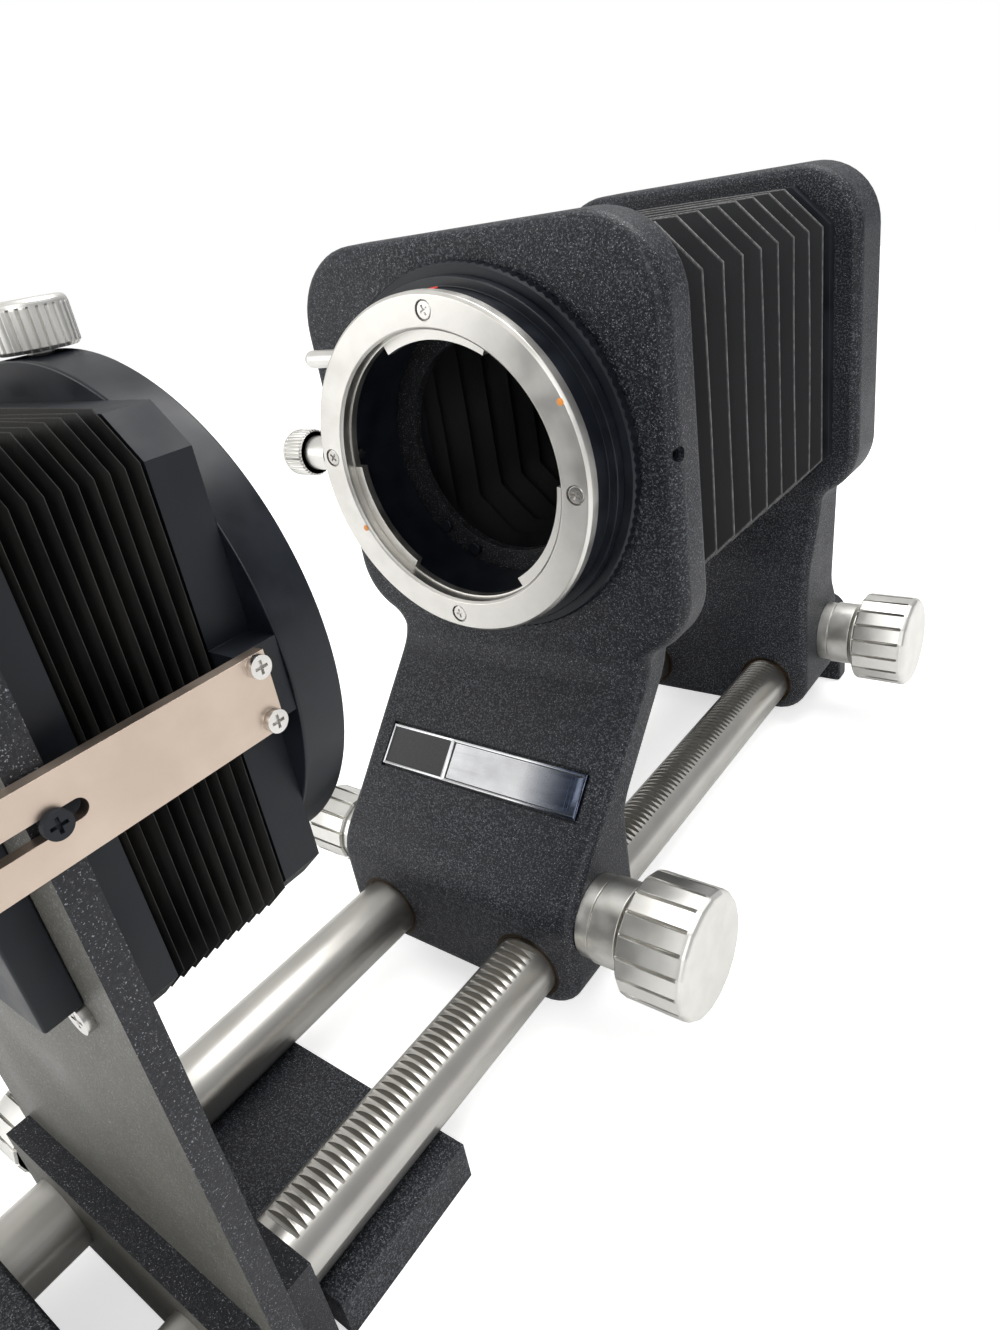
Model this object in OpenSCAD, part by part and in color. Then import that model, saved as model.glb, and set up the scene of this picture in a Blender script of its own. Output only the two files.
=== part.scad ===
// Macro bellows unit with a slide-copying attachment on the same pair of rails.
// Millimetres. X is across the rails with the focus knobs on +X, Y runs from the copier (front)
// to the camera (rear), Z is up. The origin is the mouth of the tripod socket.

/* [Rails] */
// Diameter of each rail rod
rod_d = 13; // [11:0.5:14]
// Distance between the two rod axes
rod_gauge = 37; // [33:1:41]
// Height of the rod axes over the table
rod_z = 13.5; // [12:0.5:16]
// Front end of the rods
rod_y0 = -45; // [-60:1:-42]
// Rear end of the rods
rod_y1 = 203; // [202:1:215]
// Module of the rack teeth cut in the right rod
rack_module = 0.5; // [0.4:0.05:0.6]
// Number of teeth in the rack
rack_teeth = 134; // [120:1:140]

/* [Rail ends and tripod block] */
// Width of an end plate
end_w = 60; // [56:1:70]
// Height of an end plate
end_h = 27.5; // [26:0.5:36]
// Thickness of an end plate
end_t = 6; // [6:0.5:10]
// Depth of the rod sockets in an end plate
end_socket = 4; // [3:0.5:4.5]
// Length of the tripod block along the rails
block_l = 29; // [24:1:30]
// Width of the tripod block
block_w = 56; // [50:1:62]
// Depth of the saddles that the rods lie in
saddle = 1.2; // [0.5:0.1:2.5]
// Radius of the tripod socket, quarter-inch thread
socket_r = 3.175; // [3:0.025:4]
// Depth of the tripod socket
socket_depth = 7; // [5:0.5:7.5]

/* [Standards] */
// Height of the optical axis over the rod axes
axis_over_rods = 91; // [86:1:98]
// Width of a standard's upper plate
plate_w = 81; // [77:1:88]
// Top edge of the plate over the optical axis
plate_top = 38.8; // [37:0.2:46]
// Radius of the plate's top corners
plate_top_r = 15; // [8:1:20]
// Radius of the plate's lower shoulders
shoulder_r = 13; // [8:1:16]
// Bottom of the shoulders under the optical axis
shoulder_z = 38; // [36:1:44]
// Fillet where a shoulder runs into the leg
neck_r = 5; // [3:0.5:8]
// Width of the leg
leg_w = 60; // [56:1:64]
// Bottom of the foot over the table
foot_z = 4.5; // [3:0.5:5.5]
// Radius of the foot's lower corners
foot_r = 9; // [6:0.5:10]
// Front face of the front standard's plate
front_y = 82.5; // [80:0.5:90]
// Thickness of the front standard's plate
front_t = 10; // [9:0.5:14]
// Reach of the front toe ahead of the plate
toe_reach = 34; // [30:1:38]
// Length of the front foot along the rods
foot_l = 24; // [20:1:28]
// Front face of the rear standard's plate
rear_y = 176.5; // [174:0.5:180]
// Thickness of the rear standard's plate
rear_t = 16; // [14:0.5:20]
// Reach of the rear foot ahead of the rear plate
rear_toe_reach = 7; // [4:0.5:10]
// Length of the rear foot along the rods
rear_foot_l = 26.5; // [22:0.5:27]
// Radius of the light opening in both plates
light_r = 26.5; // [25:0.25:28]
// Wall of the bushes that run on the rods
bush_wall = 0.9; // [0.6:0.1:1.4]
// Length of one rod bush
bush_l = 5; // [4:0.25:5]

/* [Focus drives] */
// Teeth on a focus pinion
pinion_teeth = 16; // [14:1:20]
// Radius of a pinion shaft
shaft_r = 2.5; // [1.8:0.1:3]
// Front pinion axis behind the front toe
pinion_back = 9.5; // [9:0.5:13]
// Rear pinion axis behind the front face of the rear foot
rear_pinion_back = 17; // [12:0.5:17.5]
// Radius of a focus knob
knob_r = 12; // [10:0.5:14]
// Length of a focus knob
knob_l = 13.5; // [10:0.5:18]
// Number of flutes on a focus knob
knob_flutes = 18; // [14:1:24]
// Radius of the fixed collar behind a knob
collar_r = 8.5; // [7:0.25:9.5]
// Length of the fixed collar
collar_l = 10; // [8:0.5:13]
// Radius of a lock knob
lock_r = 8; // [6:0.5:9]
// Length of a lock knob
lock_l = 11; // [8:0.5:14]

/* [Lens mount] */
// Outer radius of the bayonet ring
ring_r = 31; // [29:0.25:32]
// Radius of the bayonet throat
throat_r = 24.9; // [24:0.1:26]
// Thickness of the bayonet ring
ring_t = 2.4; // [2:0.1:3]
// Outer radius of the knurled ring
knurl_r = 34.3; // [33.5:0.1:36]
// Thickness of the knurled ring
knurl_t = 2.8; // [2:0.1:3.5]
// Width of the screw circle radius on the ring
ring_screw_r = 28; // [27:0.25:28.5]

/* [Bellows] */
// Half width of the main bellows over its ridges
bellows_half = 34.5; // [32:0.5:37]
// Corner chamfer of the main bellows
bellows_cut = 8.5; // [6:0.5:11]
// Depth of one fold
fold_depth = 6.5; // [5:0.25:7]
// Number of folds in the main bellows
folds = 9; // [7:1:12]
// Thickness of the frames that hold the bellows
frame_t = 3; // [2:0.5:4]

/* [Slide copier] */
// Front face of the copier panel
panel_y = -26; // [-27:0.5:-25]
// Thickness of the copier panel
panel_t = 3.5; // [3:0.25:5]
// Half width of the copier panel
panel_half = 33.8; // [32:0.2:35]
// Half size of the picture window in the panel
window_half = 19; // [17:0.5:21]
// Rear face of the round adapter ring
adapter_y = 10; // [9:0.5:14]
// Radius of the round adapter ring
adapter_r = 34.5; // [32:0.5:36]
// Width of the round adapter ring
adapter_t = 6.5; // [5:0.5:8]
// Radius of the opening through the adapter ring
adapter_bore = 26; // [24:0.5:28]
// Radius of the socket that slips over a lens
adapter_socket_r = 31; // [29:0.5:31]
// Depth of that socket
adapter_socket = 5; // [3:0.5:5]
// Height of a side bar
bar_h = 9; // [7:0.2:12]
// Thickness of a side bar
bar_t = 1.5; // [1:0.25:2]
// Half width of the copier bellows
copier_half = 30.5; // [27:0.5:31]
// Number of folds in the copier bellows
copier_folds = 10; // [7:1:12]

/* [Hidden] */
$fn = 64;
run = 0.05;          // running clearance of shafts and bushes
seat = 0.02;         // clearance of parts that seat in each other
gap = 0.3;           // clearance between parts that pass each other
rod_r = rod_d / 2;
rod_x = rod_gauge / 2;
axis_z = rod_z + axis_over_rods;
foot_drop = axis_z - foot_z;
toe_y = front_y - toe_reach;
rear_toe_y = rear_y - rear_toe_reach;
bush_r = rod_r + bush_wall;
rod_screw_r = 2;
rod_screw_depth = 8;

// Rack and pinion. The pinion is drawn turned as if it had rolled along the rack to its place.
pitch = PI * rack_module;
pinion_r = rack_module * pinion_teeth / 2;
rack_line_z = rod_z + rod_r - rack_module;
pinion_z = rack_line_z + pinion_r;
pinion_w = 8;
front_pinion_y = toe_y + pinion_back;
rear_pinion_y = rear_toe_y + rear_pinion_back;
rack_y0 = -14;
rack_root = 0.65;    // depth of the tooth gaps under the pitch line
leg_x = leg_w / 2;
leg_flare = 1.2;     // the leg grows wider by this on each side on its way to the neck
flare_z = 36;
collar_x = leg_x;
knob_gap = 0.5;      // running gap between a collar and its knob
knob_x = collar_x + collar_l + knob_gap;
spigot_r = 4;
spigot_l = 5.5;
pilot_l = 4;         // stub of the shaft on the far side of the pinion
shaft_x0 = rod_x - pinion_w / 2 - pilot_l;

// Lens mount stack, from the ring's face back to the plate
mount_y = front_y - 11.5;
collar_face_y = mount_y + ring_t;
step_y = front_y - knurl_t - 2.2;
lug_w = 1.5;
lug_reach = 2;       // how far a lug stands into the throat
collar_bore = throat_r + 0.3;

bellows_y0 = front_y + front_t + frame_t;
bellows_y1 = rear_y - frame_t;
bellows_wall = 0.5;
frame_open = 24;     // half size of the opening in a bellows frame

copier_frame_t = 4.5;
adapter_y0 = adapter_y - adapter_t;
adapter_frame_t = 5.5;
adapter_frame_half = 29.8;
adapter_frame_cut = 4.5;
adapter_screw_y = adapter_y - adapter_socket / 2;
copier_y0 = panel_y + panel_t + copier_frame_t;
copier_y1 = adapter_y0 - adapter_frame_t;
carrier_y0 = panel_y - 4;
carrier_l = 13;
bar_x = panel_half + 0.2;
bar_y0 = panel_y - 8;
bar_y1 = copier_y1 + 2.6;
bar_z = axis_z + 0.8;

black = [0.13, 0.14, 0.16];
steel = [0.72, 0.71, 0.69];
chrome = [0.82, 0.81, 0.79];
tan_metal = [0.74, 0.68, 0.60];

// ---- shapes that repeat ----

// Cylinder along X from x0 to x1
module x_rod(r, x0, x1, y, z) {
    translate([x0, y, z]) rotate([0, 90, 0]) cylinder(r = r, h = x1 - x0);
}
// Cylinder along Y from y0 to y1
module y_rod(r, y0, y1, x, z) {
    translate([x, y0, z]) rotate([-90, 0, 0]) cylinder(r = r, h = y1 - y0);
}
// Ring along Y about the optical axis
module y_ring(r_out, r_in, y0, y1) {
    translate([0, y0, axis_z]) rotate([-90, 0, 0])
        difference() {
            cylinder(r = r_out, h = y1 - y0, $fn = 128);
            translate([0, 0, -1]) cylinder(r = r_in, h = y1 - y0 + 2, $fn = 128);
        }
}
// Extrusion along Y of a flat outline drawn in X and Z
module y_plate(y0, t) {
    translate([0, y0 + t, 0]) rotate([90, 0, 0]) linear_extrude(t) children();
}
// Extrusion along X of a flat outline drawn in Y and Z
module x_plate(x0, t) {
    translate([x0, 0, 0]) rotate([90, 0, 90]) linear_extrude(t) children();
}
// Square with cut corners, centred
module cut_square(half, cut) {
    polygon([[half - cut, half], [half, half - cut], [half, cut - half], [half - cut, -half],
        [cut - half, -half], [-half, cut - half], [-half, half - cut], [cut - half, half]]);
}
// Rectangle with two or four round corners, from its lower left corner
module round_top(w, h, r) {
    square([w, h - r]);
    translate([r, 0]) square([w - 2 * r, h]);
    for (x = [r, w - r]) translate([x, h - r]) circle(r);
}
// Cross-recessed round head with its flat face at z = 0, pointing up
module cross_head(r, t) {
    slot = r * 0.28;
    difference() {
        cylinder(r = r, h = t, $fn = 32);
        for (a = [0, 90]) rotate(a)
            translate([-r * 0.6, -slot / 2, t * 0.45]) cube([r * 1.2, slot, t]);
    }
}
// Head facing -Y at a point, and the shank behind it
module screw_front(x, y, z, r, t, shank_r, shank_l) {
    translate([x, y, z]) rotate([90, 0, 0]) cross_head(r, t);
    y_rod(shank_r, y, y + shank_l, x, z);
}
module screw_rear(x, y, z, r, t, shank_r, shank_l) {
    translate([x, y, z]) rotate([-90, 0, 0]) cross_head(r, t);
    y_rod(shank_r, y - shank_l, y, x, z);
}
// Fluted grip along +X from x = 0: flats parted by narrow grooves, with a dished end
module fluted_grip(r, l, flutes, groove) {
    step = 360 / flutes;
    half_groove = 1.6;
    edge = 1;
    over = 0.1;      // the turned profile stays clear of the flats
    intersection() {
        rotate([90, 0, 90]) linear_extrude(l)
            polygon([for (i = [0 : flutes - 1], s = [-1, 0, 1])
                let (a = i * step + s * half_groove, d = (s == 0) ? r - groove : r)
                    [d * cos(a), d * sin(a)]]);
        rotate([0, 90, 0]) rotate_extrude($fn = 96)
            polygon([[0, 0], [r - edge * 0.5, 0], [r + over, edge * 0.5 + over],
                [r + over, l - edge - over], [r - edge, l], [r * 0.72, l], [r * 0.66, l - 0.9],
                [0, l - 0.5]]);
    }
}
// Toothed wheel outline, with straight flanks and a little backlash
module pinion_outline() {
    n = pinion_teeth;
    root = pinion_r - rack_root + 0.05;
    tip = pinion_r + rack_module * 0.9;
    half_root = pitch * 0.30;
    half_tip = pitch * 0.08;
    polygon([for (i = [0 : n - 1], p = [[root, -half_root], [tip, -half_tip], [tip, half_tip],
        [root, half_root]])
            let (a = i * 360 / n + p[1] / p[0] * 180 / PI)
                [p[0] * cos(a), p[0] * sin(a)]]);
}
// Pinion and shaft, drawn with a tooth in the rack gap at y
module pinion(y) {
    roll = -(y - rack_y0) / pinion_r * 180 / PI - 90;
    shaft_end = knob_x + knob_l - 4;
    translate([rod_x - pinion_w / 2, y, pinion_z]) rotate([90, 0, 90]) rotate(roll)
        linear_extrude(pinion_w) pinion_outline();
    x_rod(shaft_r, shaft_x0, shaft_end, y, pinion_z);
}
// Space for a pinion, its shaft and the collar's spigot
module pinion_space(y) {
    x0 = rod_x - pinion_w / 2 - gap;
    x1 = rod_x + pinion_w / 2 + gap;
    x_rod(pinion_r + rack_module + gap, x0, x1, y, pinion_z);
    x_rod(shaft_r + run, shaft_x0 - 1, leg_x + 1, y, pinion_z);
    x_rod(spigot_r + seat, leg_x - spigot_l, leg_x + 1, y, pinion_z);
}
// Fixed collar with its spigot in the leg
module knob_collar(y) {
    seam = collar_l * 0.3;
    difference() {
        union() {
            x_rod(collar_r - 0.4, collar_x, collar_x + seam, y, pinion_z);
            x_rod(collar_r, collar_x + seam, collar_x + collar_l, y, pinion_z);
            x_rod(spigot_r, leg_x - spigot_l, collar_x + 1, y, pinion_z);
        }
        x_rod(shaft_r + run, leg_x - spigot_l - 1, knob_x, y, pinion_z);
        translate([collar_x + collar_l * 0.7, y, pinion_z - collar_r])
            cylinder(r = 0.8, h = 2, center = true, $fn = 24);
    }
}
module focus_knob(y) {
    difference() {
        translate([knob_x, y, pinion_z]) fluted_grip(knob_r, knob_l, knob_flutes, 0.7);
        x_rod(shaft_r + seat, knob_x - 1, knob_x + knob_l - 4, y, pinion_z);
        translate([knob_x + 4, y, pinion_z - knob_r - 1])
            cylinder(r = 1.5 + seat, h = knob_r + 1, $fn = 24);
    }
}
module knob_set_screw(y) {
    head = knob_r - 2;
    translate([knob_x + 4, y, pinion_z]) rotate([180, 0, 0]) difference() {
        translate([0, 0, shaft_r + seat]) cylinder(r = 1.5, h = head - shaft_r, $fn = 24);
        translate([0, 0, head - 1]) cylinder(r = 0.8, h = 3, $fn = 6);
    }
}
// Lock in line with a pinion: a fluted knob on the left turns a long screw, and the screw
// presses a brass pad against the end of the pinion shaft
lock_neck_l = 2;
lock_screw_r = 2.5;
pad_l = 2;
pad_x = shaft_x0 - 2 * run - pad_l;
lock_x = -leg_x - gap - lock_neck_l;
screw_in_knob = lock_l - 4;
module lock_screw(y) {
    x_rod(lock_screw_r, lock_x - screw_in_knob, pad_x - run, y, pinion_z);
}
module lock_knob(y) {
    difference() {
        union() {
            translate([lock_x, y, pinion_z]) rotate([0, 180, 0]) fluted_grip(lock_r, lock_l, 14, 0.8);
            x_rod(lock_r - 0.8, lock_x - 0.5, lock_x + lock_neck_l, y, pinion_z);
        }
        x_rod(lock_screw_r + seat, lock_x - screw_in_knob, 0, y, pinion_z);
    }
}
module lock_pad(y) {
    x_rod(lock_screw_r, pad_x, pad_x + pad_l, y, pinion_z);
}
module lock_space(y) {
    x_rod(lock_screw_r + run, -leg_x - 1, shaft_x0, y, pinion_z);
}
// Two bushes on each rod, at the two ends of a foot
module rod_bushes(y0, l) {
    for (x = [-rod_x, rod_x], y = [y0, y0 + l - bush_l])
        difference() {
            y_rod(bush_r, y, y + bush_l, x, rod_z);
            y_rod(rod_r + run, y - 1, y + bush_l + 1, x, rod_z);
        }
}
module bush_space(y0, l) {
    for (x = [-rod_x, rod_x]) {
        y_rod(rod_r + gap, y0 - 1, y0 + l + 1, x, rod_z);
        y_rod(bush_r + seat, y0 - 1, y0 + bush_l, x, rod_z);
        y_rod(bush_r + seat, y0 + l - bush_l, y0 + l + 1, x, rod_z);
    }
}

// ---- rails, rail ends and tripod block ----

module rod(x) {
    difference() {
        y_rod(rod_r, rod_y0, rod_y1, x, rod_z);
        y_rod(rod_screw_r + seat, rod_y0 - 1, rod_y0 + rod_screw_depth + 1, x, rod_z);
        y_rod(rod_screw_r + seat, rod_y1 - rod_screw_depth - 1, rod_y1 + 1, x, rod_z);
        translate([x, 0, 0]) cylinder(r = rod_screw_r + seat, h = rod_z - 0.5, $fn = 32);
    }
}
module rail_plain() {
    color(steel) rod(-rod_x);
}
module rail_rack() {
    gap_top = pitch * 0.42;
    gap_root = pitch * 0.16;
    over = rack_module + 1;
    color(steel) difference() {
        rod(rod_x);
        x_plate(rod_x - rod_r, rod_d)
            polygon(concat([[rack_y0 + (rack_teeth - 1) * pitch + pitch, rack_line_z + over],
                [rack_y0 - pitch, rack_line_z + over], [rack_y0 - pitch, rack_line_z + rack_module]],
                [for (i = [0 : rack_teeth - 1], p = [[-gap_top, rack_module], [-gap_root, -rack_root],
                    [gap_root, -rack_root], [gap_top, rack_module]])
                        [rack_y0 + i * pitch + p[0], rack_line_z + p[1]]],
                [[rack_y0 + rack_teeth * pitch, rack_line_z + rack_module]]));
    }
}
// End plate with two blind sockets; its outer face looks along dir
module rail_end(y_inner, dir) {
    y0 = min(y_inner, y_inner + dir * end_t);
    difference() {
        y_plate(y0, end_t) translate([-end_w / 2, 0]) round_top(end_w, end_h, 6);
        for (x = [-rod_x, rod_x]) {
            y_rod(rod_r + seat, min(y_inner - dir, y_inner + dir * end_socket),
                max(y_inner - dir, y_inner + dir * end_socket), x, rod_z);
            y_rod(rod_screw_r + run, y0 - 1, y0 + end_t + 1, x, rod_z);
        }
        translate([0, y0 + end_t / 2, 0]) cube([end_w * 0.42, end_t + 2, 6], center = true);
    }
}
module rail_end_front() {
    color(black) rail_end(rod_y0 + end_socket, -1);
}
module rail_end_rear() {
    color(black) rail_end(rod_y1 - end_socket, 1);
}
module rail_end_screws() {
    out_front = rod_y0 + end_socket - end_t;
    out_rear = rod_y1 - end_socket + end_t;
    shank = end_t - end_socket + rod_screw_depth;
    color(chrome) for (x = [-rod_x, rod_x]) {
        screw_front(x, out_front, rod_z, 4, 2, rod_screw_r, shank);
        screw_rear(x, out_rear, rod_z, 4, 2, rod_screw_r, shank);
    }
}
block_top = rod_z - rod_r + saddle;
block_head_r = 4;
block_head_t = 2.5;
bush_out_r = 5.5;
module tripod_block() {
    color(black) difference() {
        translate([-block_w / 2, -block_l / 2, 0]) cube([block_w, block_l, block_top]);
        for (x = [-rod_x, rod_x]) {
            y_rod(rod_r + seat, -block_l, block_l, x, rod_z);
            translate([x, 0, -1]) cylinder(r = rod_screw_r + run, h = block_top + 1);
            translate([x, 0, -1]) cylinder(r = block_head_r + 0.2, h = block_head_t + 1.2);
        }
        translate([0, 0, -1]) cylinder(r = bush_out_r + seat, h = socket_depth + 1);
    }
}
module tripod_bush() {
    color(steel) difference() {
        cylinder(r = bush_out_r, h = socket_depth);
        translate([0, 0, -1]) cylinder(r = socket_r, h = socket_depth + 2);
    }
}
module tripod_block_screws() {
    color(chrome) for (x = [-rod_x, rod_x]) translate([x, 0, 0.2]) {
        translate([0, 0, block_head_t]) rotate([180, 0, 0]) cross_head(block_head_r, block_head_t);
        translate([0, 0, block_head_t - 0.5])
            cylinder(r = rod_screw_r, h = rod_z - block_head_t - 1, $fn = 32);
    }
}

// ---- standards ----

// Points on an arc
function arc(x, y, r, from, to, steps = 12) = [for (i = [0 : steps])
    let (a = from + (to - from) * i / steps) [x + r * cos(a), y + r * sin(a)]];
function mirrored(points) = [for (i = [len(points) - 1 : -1 : 0]) [-points[i][0], points[i][1]]];
// Front view of a standard about the optical axis: foot corner, leg, fillet, shoulder, top corner
module standard_outline() {
    half = plate_w / 2;
    sx = half - shoulder_r;
    sz = shoulder_r - shoulder_z;
    nx = leg_x + leg_flare + neck_r;
    nz = sz - sqrt(pow(shoulder_r + neck_r, 2) - pow(nx - sx, 2));
    lean = atan2(sz - nz, sx - nx);
    right = concat(arc(leg_x - foot_r, foot_r - foot_drop, foot_r, -90, 0),
        [[leg_x, flare_z - axis_z]], arc(nx, nz, neck_r, 180, lean), arc(sx, sz, shoulder_r, lean - 180, 0),
        arc(half - plate_top_r, plate_top - plate_top_r, plate_top_r, 0, 90));
    polygon(concat(right, mirrored(right)));
}
// Casting: the front view limited by a side view, with the light opening and the rod bores
module casting(y_foot, l_foot) {
    difference() {
        intersection() {
            y_plate(-100, 400) translate([0, axis_z]) standard_outline();
            x_plate(-plate_w, 2 * plate_w) translate([0, axis_z]) children(0);
        }
        y_rod(light_r, -100, 300, 0, axis_z, $fn = 128);
        bush_space(y_foot, l_foot);
    }
}
knee_z = -42;        // where the sloping face of the front leg starts, under the axis
toe_z = -77;         // where it meets the upright face of the toe
calf_z = -64.5;      // where the rear slope ends
rear_toe_z = -58;    // the same two places on the rear standard
heel_z = -72;
front_bore_y = front_y + 1.7;
module front_side_view() {
    polygon([[front_y, plate_top + 1], [front_y, knee_z], [toe_y, toe_z], [toe_y, -foot_drop],
        [toe_y + foot_l, -foot_drop], [toe_y + foot_l + 0.5, calf_z],
        [front_y + front_t, knee_z + 0.5], [front_y + front_t, plate_top + 1]]);
}
plate_recess = 0.8;
name_w = 50;
name_h = 9;
name_l = 25;         // centre of the nameplate down the slope from the knee
module on_slope() {
    run_y = toe_y - front_y;
    rise = toe_z - knee_z;
    l = sqrt(run_y * run_y + rise * rise);
    translate([0, front_y + run_y * name_l / l, axis_z + knee_z + rise * name_l / l])
        rotate([90 - atan2(-run_y, -rise), 0, 0]) children();
}
module front_standard() {
    color(black) difference() {
        casting(toe_y, foot_l) front_side_view();
        pinion_space(front_pinion_y);
        lock_space(front_pinion_y);
        on_slope() translate([-name_w / 2 - 0.3, -name_h / 2 - 0.3, -plate_recess])
            cube([name_w + 0.6, name_h + 0.6, 5]);
        x_rod(1.3, light_r - 1, plate_w, front_bore_y, axis_z + 0.8, $fn = 24);
        for (p = frame_screw_places()) y_rod(1 + run, front_y + front_t - 6, bellows_y0, p[0], p[1]);
    }
}
module rear_side_view() {
    top = plate_top + 1;
    heel = rear_toe_y + rear_foot_l;
    polygon([[rear_y, top], [rear_y, knee_z], [rear_toe_y, rear_toe_z], [rear_toe_y, -foot_drop],
        [heel, -foot_drop], [heel, heel_z], [rear_y + rear_t, heel_z + 4], [rear_y + rear_t, top]]);
}
module rear_standard() {
    color(black) difference() {
        casting(rear_toe_y, rear_foot_l) rear_side_view();
        pinion_space(rear_pinion_y);
        lock_space(rear_pinion_y);
        y_rod(seat_r + seat, seat_y - seat_t, seat_y + 1, 0, axis_z, $fn = 128);
        y_rod(flange_r + gap, flange_y - gap, seat_y, 0, axis_z, $fn = 128);
        for (p = frame_screw_places()) y_rod(1 + run, bellows_y1, rear_y + 6, p[0], p[1]);
        x_rod(camera_lock_r + run, -plate_w, -light_r, camera_lock_y, axis_z);
    }
}
module front_rod_bushes() {
    color([0.55, 0.42, 0.22]) rod_bushes(toe_y, foot_l);
}
module rear_rod_bushes() {
    color([0.55, 0.42, 0.22]) rod_bushes(rear_toe_y, rear_foot_l);
}
module nameplate() {
    color(chrome) on_slope() difference() {
        translate([-name_w / 2, -name_h / 2, -plate_recess]) cube([name_w, name_h, 1.1]);
        translate([-name_w / 2 + 0.7, -name_h / 2 + 0.7, 0.1])
            cube([name_w * 0.31, name_h - 1.4, 1]);
        translate([-name_w * 0.17, -name_h / 2 + 0.7, 0.1])
            cube([name_w * 0.67 - 0.7, name_h - 1.4, 1]);
    }
}

// ---- focus drives and locks ----

module front_pinion() {
    color(steel) pinion(front_pinion_y);
}
module front_knob_collar() {
    color(steel) knob_collar(front_pinion_y);
}
module front_focus_knob() {
    color(chrome) focus_knob(front_pinion_y);
}
module front_knob_set_screw() {
    color(black) knob_set_screw(front_pinion_y);
}
module front_lock_screw() {
    color(steel) lock_screw(front_pinion_y);
}
module front_lock_knob() {
    color(chrome) lock_knob(front_pinion_y);
}
module front_lock_pad() {
    color([0.75, 0.6, 0.3]) lock_pad(front_pinion_y);
}
module rear_pinion() {
    color(steel) pinion(rear_pinion_y);
}
module rear_knob_collar() {
    color(steel) knob_collar(rear_pinion_y);
}
module rear_focus_knob() {
    color(chrome) focus_knob(rear_pinion_y);
}
module rear_knob_set_screw() {
    color(black) knob_set_screw(rear_pinion_y);
}
module rear_lock_screw() {
    color(steel) lock_screw(rear_pinion_y);
}
module rear_lock_knob() {
    color(chrome) lock_knob(rear_pinion_y);
}
module rear_lock_pad() {
    color([0.75, 0.6, 0.3]) lock_pad(rear_pinion_y);
}

// ---- lens mount ----

screw_turn = 5;      // the mount's screws stand this far clockwise of upright
function ring_places() = [for (a = [0, 90, 180, 270])
    [ring_screw_r * sin(a + screw_turn), axis_z + ring_screw_r * cos(a + screw_turn)]];
module lug(from_angle, sweep, y0, r0, r1) {
    translate([0, y0, axis_z]) rotate([90, 0, 0]) rotate(from_angle) translate([0, 0, -lug_w])
        rotate_extrude(angle = sweep, $fn = 128) translate([r0, 0]) square([r1 - r0, lug_w]);
}
// The lugs stand on a short skirt behind the throat
module lens_mount_ring() {
    lug_root = throat_r - 0.3;
    color(chrome) difference() {
        union() {
            y_ring(ring_r, throat_r, mount_y, collar_face_y);
            y_ring(collar_bore - run, throat_r, collar_face_y - 0.5, collar_face_y + lug_w);
            y_ring(throat_r + 0.1, lug_root, collar_face_y, collar_face_y + lug_w);
            for (a = [60, 180, 300])
                lug(a, 55, collar_face_y, throat_r - lug_reach, lug_root + 0.1);
        }
        for (p = ring_places()) {
            y_rod(1.7, mount_y - 1, mount_y + 0.9, p[0], p[1], $fn = 32);
            y_rod(0.9, mount_y, collar_face_y + 1, p[0], p[1], $fn = 32);
        }
    }
}
module lens_mount_screws() {
    color(chrome) for (p = ring_places())
        screw_front(p[0], mount_y + 0.9, p[1], 1.6, 0.8, 0.85, ring_t + 0.2);
}
module lens_mount_collar() {
    hub_r = knurl_r - 4;
    color(black) difference() {
        union() {
            y_ring(ring_r - 0.4, collar_bore, collar_face_y, step_y + 1);
            y_ring(ring_r + 1.3, collar_bore, step_y, front_y - knurl_t);
            y_ring(hub_r, collar_bore, step_y, front_y);
            y_ring(light_r - seat, collar_bore, front_y - 1, front_y + 5);
        }
        for (p = ring_places())
            y_rod(0.85 + seat, mount_y, collar_face_y + 1.2, p[0], p[1], $fn = 32);
        x_rod(thumb_shank_r + run, -plate_w, -throat_r, thumb_y, thumb_z);
        x_rod(1.7 + run, -plate_w, release_in + release_travel + 1, release_y, axis_z + release_z);
    }
}
module lens_mount_knurled_ring() {
    teeth = 120;
    depth = 0.35;
    color([0.35, 0.35, 0.35]) difference() {
        y_plate(front_y - knurl_t + 0.15, knurl_t - 0.3) translate([0, axis_z])
            polygon([for (i = [0 : teeth * 2 - 1])
                let (a = i * 180 / teeth, r = knurl_r - depth * (i % 2))
                    [r * cos(a), r * sin(a)]]);
        y_rod(knurl_r - 4 + run, front_y - knurl_t - 1, front_y + 1, 0, axis_z, $fn = 128);
    }
}
module lens_mount_index_dots() {
    red_at = 87;
    color([0.8, 0.1, 0.08]) translate([0, collar_face_y + 2, axis_z]) rotate([0, -red_at, 0])
        translate([ring_r - 0.4, 0, 0]) rotate([0, 90, 0]) cylinder(r = 0.9, h = 0.25, $fn = 32);
    color([0.9, 0.45, 0.1]) for (dot = [[25, ring_r - 0.9], [207, throat_r + 0.9]])
        translate([0, mount_y - 0.2, axis_z]) rotate([0, -dot[0], 0]) translate([dot[1], 0, 0])
            rotate([-90, 0, 0]) cylinder(r = 0.6, h = 0.2, $fn = 32);
}
module lens_mount_set_screw() {
    color(black) difference() {
        x_rod(1.3 - seat, light_r + 0.2, plate_w / 2 - 1.2, front_bore_y, axis_z + 0.8, $fn = 24);
        x_rod(0.65, plate_w / 2 - 2.6, plate_w, front_bore_y, axis_z + 0.8, $fn = 6);
    }
}
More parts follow.
